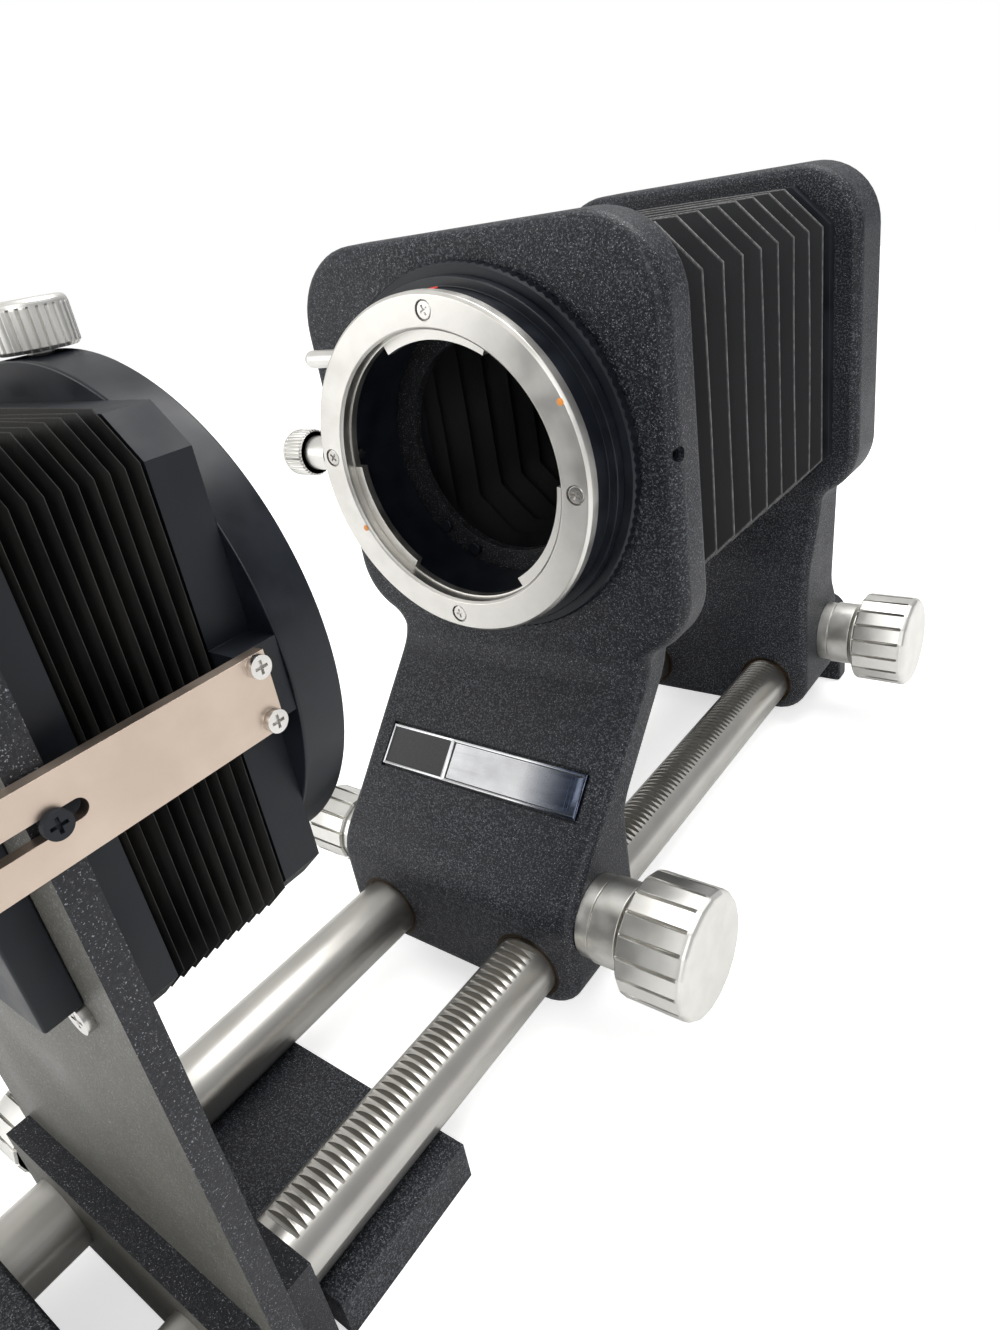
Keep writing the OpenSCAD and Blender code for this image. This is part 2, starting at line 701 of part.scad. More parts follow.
// Thumb screw on the left of the mount collar
thumb_y = front_y - 6.4;
thumb_z = axis_z + 1.8;
thumb_head_r = 4.7;
thumb_head_l = 6.2;
thumb_barrel_l = 5.8;
thumb_barrel_r = 3.4;
thumb_shank_r = 1.2;
module lens_mount_lock_knob() {
    x_in = ring_r + 1.3;
    color(chrome) {
        x_rod(thumb_shank_r, -x_in - 1, -throat_r - 2, thumb_y, thumb_z);
        x_rod(thumb_barrel_r, -x_in - thumb_barrel_l, -x_in - gap, thumb_y, thumb_z);
        translate([-x_in - thumb_barrel_l, thumb_y, thumb_z]) rotate([0, 180, 0])
            fluted_grip(thumb_head_r, thumb_head_l, 28, 0.35);
    }
}
// Sprung button on the left of the mount collar
release_y = front_y - 4.6;
release_z = 20;
release_out = -34.4;
release_in = -21.3;
release_travel = 1.5;
module lens_release_button() {
    color(chrome) {
        x_rod(1.7, release_out, release_in, release_y, axis_z + release_z);
        translate([release_out, release_y, axis_z + release_z]) sphere(1.7, $fn = 32);
    }
}
baffle_y = front_y + 5.5;
module light_baffle() {
    color(black) difference() {
        y_ring(light_r - seat, 21, baffle_y, baffle_y + 2);
        for (a = [225, 245]) y_rod(0.9, baffle_y - 1, baffle_y + 3, 23.6 * cos(a),
            axis_z + 23.6 * sin(a), $fn = 24);
    }
}
module baffle_screws() {
    color(black) for (a = [225, 245]) {
        y_rod(0.85, baffle_y, baffle_y + 3, 23.6 * cos(a), axis_z + 23.6 * sin(a), $fn = 24);
        y_rod(1.4, baffle_y - 0.8, baffle_y, 23.6 * cos(a), axis_z + 23.6 * sin(a), $fn = 24);
    }
}

// ---- bellows and their frames ----

frame_screw_x = (bellows_half + frame_open) / 2 - 0.75;
frame_screw_z = 18;
function frame_screw_places() = [for (x = [-frame_screw_x, frame_screw_x],
    z = [-frame_screw_z, frame_screw_z]) [x, axis_z + z]];
module bellows_frame(y0) {
    difference() {
        y_plate(y0, frame_t) translate([0, axis_z]) difference() {
            cut_square(bellows_half, bellows_cut);
            square(2 * frame_open, center = true);
        }
        for (p = frame_screw_places()) y_rod(1 + run, y0 - 1, y0 + frame_t + 1, p[0], p[1]);
    }
}
module front_bellows_frame() {
    color(black) bellows_frame(front_y + front_t);
}
module rear_bellows_frame() {
    color(black) bellows_frame(bellows_y1);
}
// The screws are under the leatherette, so they end flush with the frames
module bellows_frame_screws_front() {
    color(steel) for (p = frame_screw_places())
        y_rod(1, front_y + front_t - 5, bellows_y0 - 0.3, p[0], p[1], $fn = 32);
}
module bellows_frame_screws_rear() {
    color(steel) for (p = frame_screw_places())
        y_rod(1, bellows_y1 + 0.3, rear_y + 5, p[0], p[1], $fn = 32);
}
function cut_ring(half, cut, y) = [for (p = [[half - cut, half], [half, half - cut],
    [half, cut - half], [half - cut, -half], [cut - half, -half], [-half, cut - half],
    [-half, half - cut], [cut - half, half]]) [p[0], y, axis_z + p[1]]];
// Folded tube of n folds from y0 to y1: an outer and an inner skin joined at both ends
module folded_tube(y0, y1, n, half, cut, depth, wall) {
    rows = 2 * n + 1;
    sides = 8;
    skin = [for (w = [0, wall], i = [0 : rows - 1])
        each cut_ring(half - w - ((i % 2 == 0) ? depth : 0), cut - w * 0.6, y0 + (y1 - y0) * i / (2 * n))];
    inner = rows * sides;
    faces = concat(
        [for (i = [0 : rows - 2], k = [0 : sides - 1])
            [i * sides + k, (i + 1) * sides + k, (i + 1) * sides + (k + 1) % sides,
                i * sides + (k + 1) % sides]],
        [for (i = [0 : rows - 2], k = [0 : sides - 1])
            [inner + i * sides + k, inner + i * sides + (k + 1) % sides,
                inner + (i + 1) * sides + (k + 1) % sides, inner + (i + 1) * sides + k]],
        [for (k = [0 : sides - 1]) [k, (k + 1) % sides, inner + (k + 1) % sides, inner + k]],
        [for (k = [0 : sides - 1]) let (a = (rows - 1) * sides)
            [a + (k + 1) % sides, a + k, inner + a + k, inner + a + (k + 1) % sides]]);
    polyhedron(points = skin, faces = faces, convexity = 10);
}
module main_bellows() {
    color([0.12, 0.12, 0.14]) folded_tube(bellows_y0, bellows_y1, folds, bellows_half,
        bellows_cut, fold_depth, bellows_wall);
}

// ---- camera mount at the rear ----

// The mount turns with a sleeve that is screwed to it from behind the fixed seat
seat_y = rear_y + rear_t;
seat_r = 34;
seat_t = 4;
seat_bore = 26.5;
camera_ring_r = 30;
camera_bore = 21;
spigot_out_r = 23.2;
spigot_out_l = 4.5;
flange_r = 28.5;
flange_t = 3;
flange_y = seat_y - seat_t - flange_t - run;
camera_lock_y = flange_y + flange_t / 2;
camera_lock_r = 1.2;
camera_face_y = seat_y + 3;
module camera_mount_seat() {
    color(black) difference() {
        y_ring(seat_r, seat_bore + run, seat_y - seat_t, seat_y + 1.5);
        y_rod(camera_ring_r + run, seat_y - 1, seat_y + 3, 0, axis_z, $fn = 128);
    }
}
module camera_mount_sleeve() {
    color(steel) difference() {
        union() {
            y_ring(flange_r, camera_bore, flange_y, flange_y + flange_t);
            y_ring(seat_bore, camera_bore, flange_y + 1, seat_y - 1);
        }
        for (p = camera_screw_places()) y_rod(0.85 + seat, flange_y - 1, seat_y, p[0], p[1], $fn = 32);
    }
}
module camera_mount_ring() {
    color(chrome) difference() {
        union() {
            y_ring(camera_ring_r, camera_bore, seat_y - 1, camera_face_y);
            y_ring(spigot_out_r, camera_bore, camera_face_y - 1, camera_face_y + spigot_out_l);
            for (a = [20, 140, 260])
                lug(a, 50, camera_face_y + spigot_out_l - lug_w - 0.2, spigot_out_r - 1, spigot_out_r + 1.7);
        }
        for (p = camera_screw_places()) {
            y_rod(1.5, camera_face_y - 0.9, camera_face_y + 1, p[0], p[1], $fn = 32);
            y_rod(0.85 + seat, seat_y - 2, camera_face_y, p[0], p[1], $fn = 32);
        }
    }
}
camera_screw_circle = 24.9;
function camera_screw_places() = [for (a = [45, 135, 225, 315])
    [camera_screw_circle * sin(a), axis_z + camera_screw_circle * cos(a)]];
module camera_mount_screws() {
    color(chrome) for (p = camera_screw_places())
        screw_rear(p[0], camera_face_y - 0.9, p[1], 1.4, 0.8, 0.85, 7);
}
module camera_mount_lock() {
    x_in = flange_r + gap;
    color(chrome) {
        x_rod(camera_lock_r, -plate_w / 2 - 2, -x_in, camera_lock_y, axis_z);
        translate([-plate_w / 2 - gap, camera_lock_y, axis_z]) rotate([0, 180, 0])
            fluted_grip(4.7, 6, 28, 0.35);
    }
}

// ---- slide copier ----

copier_cut = 5;
copier_fold = 3.2;
bar_screw_r = 0.65;
bar_screw_l = 5.5;
bar_screw_z = 3.2;
bar_screw_y = bar_y1 - 1.3;
bar_clamp_r = 0.8;
bar_clamp_l = 6.5;
bar_clamp_y = panel_y + panel_t / 2;
face_screw_x = 25;
face_screw_z = 26;
module copier_carrier() {
    z_top = axis_z + panel_half + 0.7;
    color(black) difference() {
        union() {
            y_plate(panel_y, panel_t) translate([-panel_half, foot_z])
                round_top(2 * panel_half, z_top - foot_z, 4);
            translate([-leg_x, carrier_y0, foot_z]) cube([leg_w, carrier_l, 20]);
        }
        translate([-window_half, panel_y - 1, axis_z - window_half])
            cube([2 * window_half, panel_t + 2, 2 * window_half]);
        for (x = [-rod_x, rod_x])
            y_rod(rod_r + run, carrier_y0 - 1, carrier_y0 + carrier_l + 1, x, rod_z);
        for (x = [-face_screw_x, face_screw_x], z = [-face_screw_z, face_screw_z])
            y_rod(1 + run, panel_y - 1, panel_y + panel_t + 1, x, axis_z + z);
        for (s = [-1, 1]) side_hole(s, bar_clamp_y, bar_z, bar_clamp_r + seat, bar_clamp_l);
        x_rod(lock_screw_r + run, -panel_half - 5, -rod_x, carrier_y0 + carrier_l / 2, rod_z);
    }
}
module copier_front_frame() {
    color(black) difference() {
        y_plate(panel_y + panel_t, copier_frame_t) translate([0, axis_z]) difference() {
            cut_square(copier_half, copier_cut);
            square(2 * window_half + 2, center = true);
        }
        for (x = [-face_screw_x, face_screw_x], z = [-face_screw_z, face_screw_z])
            y_rod(1 + seat, panel_y, panel_y + panel_t + 3.5, x, axis_z + z);
    }
}
module copier_panel_screws() {
    color(chrome) for (x = [-face_screw_x, face_screw_x], z = [-face_screw_z, face_screw_z])
        screw_front(x, panel_y, axis_z + z, 2, 1.1, 1, panel_t + 3);
}
// Channel for a mounted slide, with an opal window in its front cover
gate_t = 4.5;
cover_t = 1.5;
slide_half = 25.3;
gate_rail = 1.2;     // width of the channel's side rails
gate_sill = 2;       // height of the sill that a slide stands on
gate_half_h = 24;
module copier_gate() {
    color([0.3, 0.3, 0.3]) difference() {
        translate([-slide_half - gate_rail, panel_y - gate_t, axis_z - gate_half_h])
            cube([2 * (slide_half + gate_rail), gate_t, 2 * gate_half_h]);
        translate([-slide_half, panel_y - gate_t + cover_t, axis_z - gate_half_h + gate_sill])
            cube([2 * slide_half, gate_t, 2 * gate_half_h]);
        translate([-window_half, panel_y - gate_t - 1, axis_z - window_half])
            cube([2 * window_half, gate_t, 2 * window_half]);
    }
}
module copier_diffuser() {
    color([0.93, 0.93, 0.9, 0.8]) translate([-window_half, panel_y - gate_t, axis_z - window_half])
        cube([2 * window_half, cover_t, 2 * window_half]);
}
module copier_bellows() {
    color([0.12, 0.12, 0.14]) folded_tube(copier_y0, copier_y1, copier_folds, copier_half,
        copier_cut, copier_fold, bellows_wall);
}
// Frame behind the bellows, with an ear on each side that carries a bar
module copier_adapter_frame() {
    ear_x = adapter_frame_half - 1;
    ear_w = bar_x - seat - ear_x;
    color(black) difference() {
        union() {
            y_plate(copier_y1, adapter_frame_t) translate([0, axis_z])
                cut_square(adapter_frame_half, adapter_frame_cut);
            for (x = [ear_x, -ear_x - ear_w]) translate([x, copier_y1, bar_z - bar_h / 2])
                cube([ear_w, adapter_frame_t, bar_h]);
        }
        y_rod(adapter_bore - 3, copier_y1 - 1, adapter_y0 + 1, 0, axis_z, $fn = 128);
        for (s = [-1, 1], z = [-bar_screw_z, bar_screw_z])
            side_hole(s, bar_screw_y, bar_z + z, bar_screw_r + seat, bar_screw_l);
    }
}
module copier_adapter_ring() {
    color(black) difference() {
        y_ring(adapter_r, adapter_bore, adapter_y0, adapter_y);
        y_rod(adapter_socket_r, adapter_y - adapter_socket, adapter_y + 1, 0, axis_z, $fn = 128);
        translate([0, adapter_screw_y, axis_z + adapter_bore]) cylinder(r = 1.5 + run, h = 20);
    }
}
module copier_side_bars() {
    slot_r = bar_clamp_r + 0.2;
    slot_ahead = 5.2;
    slot_behind = 2.2;
    color(tan_metal) for (s = [-1, 1]) difference() {
        translate([(s > 0) ? bar_x : -bar_x - bar_t, bar_y0, bar_z - bar_h / 2])
            cube([bar_t, bar_y1 - bar_y0, bar_h]);
        for (y = [bar_clamp_y - slot_ahead, bar_clamp_y + slot_behind])
            side_hole(s, y, bar_z, slot_r, bar_t + 1, $fn = 32);
        translate([(s > 0) ? bar_x - 1 : -bar_x - bar_t - 1, bar_clamp_y - slot_ahead, bar_z - slot_r])
            cube([bar_t + 2, slot_ahead + slot_behind, 2 * slot_r]);
        for (z = [-bar_screw_z, bar_screw_z])
            side_hole(s, bar_screw_y, bar_z + z, bar_screw_r + 0.1, bar_t + 1, $fn = 32);
    }
}
// Hole of that depth from the outer face of a side bar inwards
module side_hole(s, y, z, r, depth) {
    out = bar_x + bar_t;
    x_rod(r, min(s * (out - depth - 0.3), s * (out + 1)), max(s * (out - depth - 0.3), s * (out + 1)), y, z);
}
module side_screw(s, y, z, r, t, shank_r, shank_l) {
    x = s * (bar_x + bar_t);
    translate([x, y, z]) rotate([0, s * 90, 0]) cross_head(r, t);
    x_rod(shank_r, min(x, x - s * shank_l), max(x, x - s * shank_l), y, z);
}
module copier_bar_screws() {
    color(chrome) for (s = [-1, 1], z = [-bar_screw_z, bar_screw_z])
        side_screw(s, bar_screw_y, bar_z + z, 2 * bar_screw_r, 0.8, bar_screw_r, bar_screw_l);
}
module copier_bar_clamps() {
    color(black) for (s = [-1, 1])
        side_screw(s, bar_clamp_y, bar_z, bar_clamp_r + 0.6, 0.8, bar_clamp_r, bar_clamp_l);
}
module copier_adapter_knob() {
    z = axis_z + adapter_r + gap;
    color(chrome) {
        translate([0, adapter_screw_y, axis_z + adapter_socket_r + 0.5]) cylinder(r = 1.5, h = 5);
        translate([0, adapter_screw_y, z]) rotate([0, -90, 0]) fluted_grip(4.7, 5.5, 28, 0.35);
    }
}
module copier_clamp_knob() {
    y = carrier_y0 + carrier_l / 2;
    color(chrome) {
        x_rod(lock_screw_r, -panel_half - 4, -rod_x - rod_r - 2 * run, y, rod_z);
        translate([-panel_half - gap, y, rod_z]) rotate([0, 180, 0])
            fluted_grip(lock_r - 1, 10, 14, 0.8);
    }
}

rail_plain();
rail_rack();
rail_end_front();
rail_end_rear();
rail_end_screws();
tripod_block();
tripod_bush();
tripod_block_screws();
front_standard();
front_rod_bushes();
front_pinion();
front_knob_collar();
front_focus_knob();
front_knob_set_screw();
front_lock_screw();
front_lock_knob();
front_lock_pad();
nameplate();
lens_mount_ring();
lens_mount_screws();
lens_mount_collar();
lens_mount_knurled_ring();
lens_mount_index_dots();
lens_mount_set_screw();
lens_mount_lock_knob();
lens_release_button();
light_baffle();
baffle_screws();
front_bellows_frame();
main_bellows();
rear_bellows_frame();
bellows_frame_screws_front();
bellows_frame_screws_rear();
rear_standard();
rear_rod_bushes();
rear_pinion();
rear_knob_collar();
rear_focus_knob();
rear_knob_set_screw();
rear_lock_screw();
rear_lock_knob();
rear_lock_pad();
camera_mount_seat();
camera_mount_sleeve();
camera_mount_ring();
camera_mount_screws();
camera_mount_lock();
copier_carrier();
copier_panel_screws();
copier_gate();
copier_diffuser();
copier_front_frame();
copier_bellows();
copier_adapter_frame();
copier_adapter_ring();
copier_side_bars();
copier_bar_screws();
copier_bar_clamps();
copier_adapter_knob();
copier_clamp_knob();
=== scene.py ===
from math import atan2, cos, hypot, pi, radians, sin, sqrt

import bmesh
import bpy
from mathutils import Matrix, Vector


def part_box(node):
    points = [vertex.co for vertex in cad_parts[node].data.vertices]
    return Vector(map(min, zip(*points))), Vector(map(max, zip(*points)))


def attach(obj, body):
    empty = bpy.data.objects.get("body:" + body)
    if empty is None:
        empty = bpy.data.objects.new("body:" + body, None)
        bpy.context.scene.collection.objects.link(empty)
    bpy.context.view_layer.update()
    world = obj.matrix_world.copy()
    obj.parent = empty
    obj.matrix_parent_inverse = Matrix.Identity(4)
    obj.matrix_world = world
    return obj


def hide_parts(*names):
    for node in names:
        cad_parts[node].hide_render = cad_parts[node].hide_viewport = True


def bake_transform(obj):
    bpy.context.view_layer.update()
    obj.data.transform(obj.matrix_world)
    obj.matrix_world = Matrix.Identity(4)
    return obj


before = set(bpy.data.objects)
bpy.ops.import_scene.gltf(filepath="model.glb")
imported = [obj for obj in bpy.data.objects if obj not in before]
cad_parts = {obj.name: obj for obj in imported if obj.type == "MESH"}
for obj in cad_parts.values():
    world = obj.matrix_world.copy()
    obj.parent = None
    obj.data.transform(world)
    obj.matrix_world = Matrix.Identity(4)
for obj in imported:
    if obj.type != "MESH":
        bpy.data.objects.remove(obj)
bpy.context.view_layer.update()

scene = bpy.context.scene
MM = 0.001

# ---- Rods ----
# Two ground steel rods carry everything that slides. The right one has a rack milled along
# its top. They are bright steel with fine grinding lines round them and wear along them.


def add(tree, kind, settings=None, **sockets):
    """Adds a shader node. A socket, by name or as _number, takes a value or a node's output."""
    new = tree.nodes.new("ShaderNode" + kind)
    for key, value in (settings or {}).items():
        setattr(new, key, value)
    for key, value in sockets.items():
        socket = new.inputs[int(key[1:]) if key[0] == "_" else key.replace("_", " ")]
        if isinstance(value, bpy.types.NodeSocket):
            tree.links.new(value, socket)
        else:
            socket.default_value = value
    return new


def spot(tree, stretch=(1, 1, 1), centre=(0, 0, 0)):
    """The point on the piece, measured from centre and stretched."""
    place_at = [-c * s for c, s in zip(centre, stretch)]
    point = add(tree, "TexCoord").outputs["Object"]
    return add(tree, "Mapping", Vector=point, Location=place_at, Scale=stretch).outputs[0]


def speckle(tree, vector, scale, detail=2.0, rough=0.5):
    return add(tree, "TexNoise", Vector=vector, Scale=scale, Detail=detail, Roughness=rough).outputs[0]


def flecks(tree, scale, detail=2.0, rough=0.5):
    """Speckle that is the same in every direction."""
    return speckle(tree, spot(tree), scale, detail, rough)


def levels(tree, value, low, high, start=0.35, end=0.65):
    """Spreads a value between start and end over low to high."""
    reach = {"From_Min": start, "From_Max": end, "To_Min": low, "To_Max": high}
    return add(tree, "MapRange", Value=value, **reach).outputs[0]


def blend_to(tree, share, ground, colour):
    """Mixes a colour over another one, or over a node's output, by a share from 0 to 1."""
    under = ground if isinstance(ground, bpy.types.NodeSocket) else (*ground, 1)
    return add(tree, "Mix", {"data_type": "RGBA"}, _0=share, _6=under, _7=(*colour, 1)).outputs[2]


def clouded(tree, pattern, dark, light):
    return blend_to(tree, levels(tree, pattern, 0, 1), dark, light)


def times(tree, value, factor):
    return add(tree, "Math", {"operation": "MULTIPLY"}, _0=value, _1=factor).outputs[0]


def relief(tree, height, depth, strength=1.0):
    """Bump of that depth in metres."""
    return add(tree, "Bump", Height=height, Distance=depth, Strength=strength).outputs[0]


def finish(name, metallic, **sockets):
    """A new material with one shader, and the tree and shader to build on."""
    material = bpy.data.materials.new(name)
    material.use_nodes = True
    shader = material.node_tree.nodes["Principled BSDF"]
    shader.inputs["Metallic"].default_value = metallic
    for key, value in sockets.items():
        shader.inputs[key.replace("_", " ")].default_value = value
    return material, material.node_tree, shader


def connect(shader, **sockets):
    for key, value in sockets.items():
        shader.id_data.links.new(value, shader.inputs[key.replace("_", " ")])


def ground_steel():
    material, tree, shader = finish("ground_steel", 1.0)
    rings = speckle(tree, spot(tree, (40, 5200, 40)), 1.0, 3)
    wear = speckle(tree, spot(tree, (700, 16, 700)), 1.0, 3)
    smear = flecks(tree, 70.0, 3)
    connect(shader,
            Base_Color=clouded(tree, smear, (0.50, 0.485, 0.455), (0.58, 0.565, 0.53)),
            Roughness=levels(tree, wear, 0.3, 0.38),
            Normal=relief(tree, rings, 0.006 * MM, 0.5))
    return material


def dress(node, material):
    """Gives a node of the frame a finish, and leaves its shape."""
    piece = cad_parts[node]
    if not piece.material_slots:
        piece.data.materials.append(material)
    for each in piece.material_slots:
        each.material = material


rod_steel = ground_steel()
for node in ("rail_plain", "rail_rack"):
    dress(node, rod_steel)

# ---- End plates ----
# A cast plate at each end ties the rods together and stands on the table. It has round top
# corners, an arch between its two feet and a wrinkle finish, and two screws hold it.
END_W, END_CORNER, END_EDGE = 60 * MM, 6 * MM, 0.9 * MM
ARCH_SHARE, ARCH_H = 0.42, 3 * MM
# The third colour is a painted glint: a highlight painted into the paint's colour.
PAINT_DARK, PAINT_LIGHT, PAINTED_GLINT_COLOUR = (0.0042, 0.0053, 0.0088), (0.105, 0.113, 0.128), (0.26, 0.27, 0.30)


def wrinkle_paint(name, dark=PAINT_DARK, light=PAINT_LIGHT):
    """Blue-black wrinkle paint: fine hard grain. Its lighter tips are partly worn paint and partly painted
    highlight, and pale specks on a finer noise are painted glints.
    """
    material, tree, shader = finish(name, 0.0, Specular_IOR_Level=0.35)
    grain = flecks(tree, 2300.0, 3, 0.62)
    fine = speckle(tree, spot(tree, centre=(0.3, 0.1, 0.2)), 4600.0, 2)
    cloud = flecks(tree, 45.0, 3)
    # Lighter tips on the raised grain: partly wear, partly painted highlight of the grain.
    tips_worn_and_lit = levels(tree, grain, 0, 1, 0.5, 0.68)
    tone = times(tree, tips_worn_and_lit, levels(tree, cloud, 0.45, 1.0))
    # Pale specks on a finer noise: painted glints, highlights painted into the colour.
    painted_glint = levels(tree, fine, 0, 1, 0.64, 0.69)
    ground = blend_to(tree, tone, dark, light)
    connect(shader,
            Base_Color=blend_to(tree, painted_glint, ground, PAINTED_GLINT_COLOUR),
            Roughness=levels(tree, cloud, 0.42, 0.58),
            Normal=relief(tree, grain, 0.12 * MM, 0.75))
    return material


def arc(x, z, r, start, end, steps=8):
    """Points on an arc in a flat outline, angles in degrees."""
    turn_by = (end - start) / steps
    return [(x + r * cos(radians(start + i * turn_by)), z + r * sin(radians(start + i * turn_by)))
            for i in range(steps + 1)]


def outline_face(bm, outline, place_point):
    return bm.faces.new([bm.verts.new(place_point(a, b)) for a, b in outline])


def extrude(bm, face, step):
    """Extrudes a face by a step and returns the face at the new end."""
    new = bmesh.ops.extrude_face_region(bm, geom=[face])["geom"]
    bmesh.ops.translate(bm, verts=[g for g in new if isinstance(g, bmesh.types.BMVert)], vec=step)
    return [g for g in new if isinstance(g, bmesh.types.BMFace)][0]


def soften(bm, width, segments=2, angle=35):
    """Rounds every edge that is sharper than the angle."""
    bm.normal_update()
    sharp = [e for e in bm.edges if len(e.link_faces) == 2 and e.calc_face_angle(0) > radians(angle)]
    bmesh.ops.bevel(bm, geom=sharp, offset=width, offset_type="OFFSET", segments=segments,
                    profile=0.5, affect="EDGES", clamp_overlap=True, material=-1)


MERGE = 0.0005 * MM


def place(bm, name, materials, slot, body, *nodes, crease=40):
    """Makes the mesh a piece that rides on a body and stands for the frame's nodes."""
    bmesh.ops.remove_doubles(bm, verts=bm.verts, dist=MERGE)
    bmesh.ops.recalc_face_normals(bm, faces=bm.faces)
    mesh = bpy.data.meshes.new(name)
    bm.to_mesh(mesh)
    bm.free()
    for material in materials if isinstance(materials, list) else [materials]:
        mesh.materials.append(material)
    mesh.shade_smooth()
    mesh.set_sharp_from_angle(angle=radians(crease))
    piece = bpy.data.objects.new(name, mesh)
    scene.collection.objects.link(piece)
    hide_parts(*nodes)
    if body:
        even = piece.modifiers.new("even shading", "WEIGHTED_NORMAL")
        even.keep_sharp = True
        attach(piece, body)
    return piece


def end_plate(name):
    low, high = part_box(name)
    half, r = END_W / 2, END_CORNER
    arch = END_W * ARCH_SHARE / 2
    side = [(arch, ARCH_H), (arch, 0), (half, 0)] + arc(half - r, high.z - r, r, 0, 90)
    outline = side + [(-x, z) for x, z in reversed(side)]
    bm = bmesh.new()
    face = outline_face(bm, outline, lambda x, z: (x, low.y, z))
    extrude(bm, face, (0, high.y - low.y, 0))
    soften(bm, END_EDGE, 3)
    return place(bm, name + "_plate", paint, "wrinkle_paint", "rails", name)


paint = wrinkle_paint("wrinkle_paint")
end_plate("rail_end_front")
end_plate("rail_end_rear")

# ---- Fasteners of the rails ----
# Bright cross-head screws hold the end plates and the block. The heads are turned, slightly
# domed and rounded at the rim, with the cross pressed in.
CHROME_DARK, CHROME_LIGHT = (0.55, 0.535, 0.51), (0.74, 0.725, 0.70)
NODE_MERGE = 0.002 * MM


def satin_chrome():
    """Satin chrome with faint clouds and rubbed spots."""
    material, tree, shader = finish("satin_chrome", 1.0)
    cloud = flecks(tree, 160.0, 4)
    pit = flecks(tree, 1600.0, 2)
    connect(shader,
            Base_Color=clouded(tree, cloud, CHROME_DARK, CHROME_LIGHT),
            Roughness=levels(tree, cloud, 0.2, 0.34),
            Normal=relief(tree, pit, 0.01 * MM, 0.4))
    return material


def cut(piece, cutter):
    """Cuts a mesh out of a piece for good."""
    mesh = bpy.data.meshes.new("cutter")
    bmesh.ops.recalc_face_normals(cutter, faces=cutter.faces)
    cutter.to_mesh(mesh)
    cutter.free()
    tool = bpy.data.objects.new("cutter", mesh)
    scene.collection.objects.link(tool)
    cutting = piece.modifiers.new("cut", "BOOLEAN")
    cutting.object, cutting.operation, cutting.solver = tool, "DIFFERENCE", "EXACT"
    others = [m for m in piece.modifiers if m != cutting]
    for each in others:
        each.show_viewport = False
    bpy.context.view_layer.update()
    shown = piece.evaluated_get(bpy.context.evaluated_depsgraph_get())
    result = bpy.data.meshes.new_from_object(shown)
    piece.modifiers.remove(cutting)
    for each in others:
        each.show_viewport = True
    old, piece.data = piece.data, result
    result.name = old.name
    bpy.data.meshes.remove(old)
    bpy.data.objects.remove(tool)
    bpy.data.meshes.remove(mesh)


def rounded(node, width, material, slot, body, segments=2):
    """A clean copy of a node of the frame, with its edges rounded."""
    bm = bmesh.new()
    bm.from_mesh(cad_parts[node].data)
    bmesh.ops.remove_doubles(bm, verts=bm.verts, dist=NODE_MERGE)
    bmesh.ops.dissolve_limit(bm, angle_limit=radians(1), verts=bm.verts, edges=bm.edges)
    soften(bm, width, segments)
    return place(bm, node + "_finished", material, slot, body, node)


chrome = satin_chrome()
rounded("rail_end_screws", 0.25 * MM, chrome, "satin_chrome", "rails")
dress("tripod_block_screws", chrome)

# ---- Tripod block ----
# A block under the middle of the rods, with a saddle for each rod and a steel bush for the
# tripod's screw. It is painted like the other castings and stands level with the end plates.
BLOCK_EDGE = 0.8 * MM


def machined_steel():
    material, tree, shader = finish("machined_steel", 1.0)
    cloud = flecks(tree, 300.0, 3)
    connect(shader,
            Base_Color=clouded(tree, cloud, (0.42, 0.41, 0.40), (0.55, 0.54, 0.52)),
            Roughness=levels(tree, cloud, 0.3, 0.45))
    return material


rounded("tripod_block", BLOCK_EDGE, paint, "wrinkle_paint", "rails", 3)
plain_steel = machined_steel()
dress("tripod_bush", plain_steel)

# ---- Standards ----
# Two die-cast standards slide on the rods. Each is a square plate with round corners on a
# leg that narrows to the foot. The front one's face slopes forward to its toe. The edges
# are rounded by the casting, and the same wrinkle paint covers everything.
AXIS_Z = sum((corner.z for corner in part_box("lens_mount_ring")), 0.0) / 2
PLATE_HALF, PLATE_TOP, TOP_R = 40.5 * MM, 38.8 * MM, 15 * MM
SHOULDER_R, SHOULDER_Z, NECK_R = 13 * MM, 38 * MM, 5 * MM
LEG_HALF, LEG_FLARE, FLARE_Z, FOOT_R = 30 * MM, 1.2 * MM, 36 * MM, 9 * MM
LIGHT_R, ROD_BORE_R, ROD_X, ROD_Z, CUT_PAST = 26.5 * MM, 7.42 * MM, 18.5 * MM, 13.5 * MM, 2 * MM
CAST_EDGE, BEND, BEND_CUTS, BEND_SAMPLES = 2.4 * MM, 3.0 * MM, 6, 9


def casting_outline(drop):
    """The standard from the front, about the optical axis."""
    shoulder_x, shoulder_z = PLATE_HALF - SHOULDER_R, SHOULDER_R - SHOULDER_Z
    neck_x = LEG_HALF + LEG_FLARE + NECK_R
    neck_z = shoulder_z - sqrt((SHOULDER_R + NECK_R) ** 2 - (neck_x - shoulder_x) ** 2)
    lean = atan2(shoulder_z - neck_z, shoulder_x - neck_x) * 180 / pi
    right = arc(LEG_HALF - FOOT_R, FOOT_R - drop, FOOT_R, -90, 0) + [(LEG_HALF, FLARE_Z - AXIS_Z)]
    right += arc(neck_x, neck_z, NECK_R, 180, lean)
    right += arc(shoulder_x, shoulder_z, SHOULDER_R, lean - 180, 0, 12)[1:]
    right += arc(PLATE_HALF - TOP_R, PLATE_TOP - TOP_R, TOP_R, 0, 90, 12)
    return right + [(-x, z) for x, z in reversed(right)]


def on_line(stops, z):
    """Height on a line of (z, y) stops that falls in z."""
    if z >= stops[0][0]:
        return stops[0][1]
    for (z0, y0), (z1, y1) in zip(stops, stops[1:]):
        if z >= z1:
            return y0 + (y1 - y0) * (z0 - z) / (z0 - z1)
    return stops[-1][1]


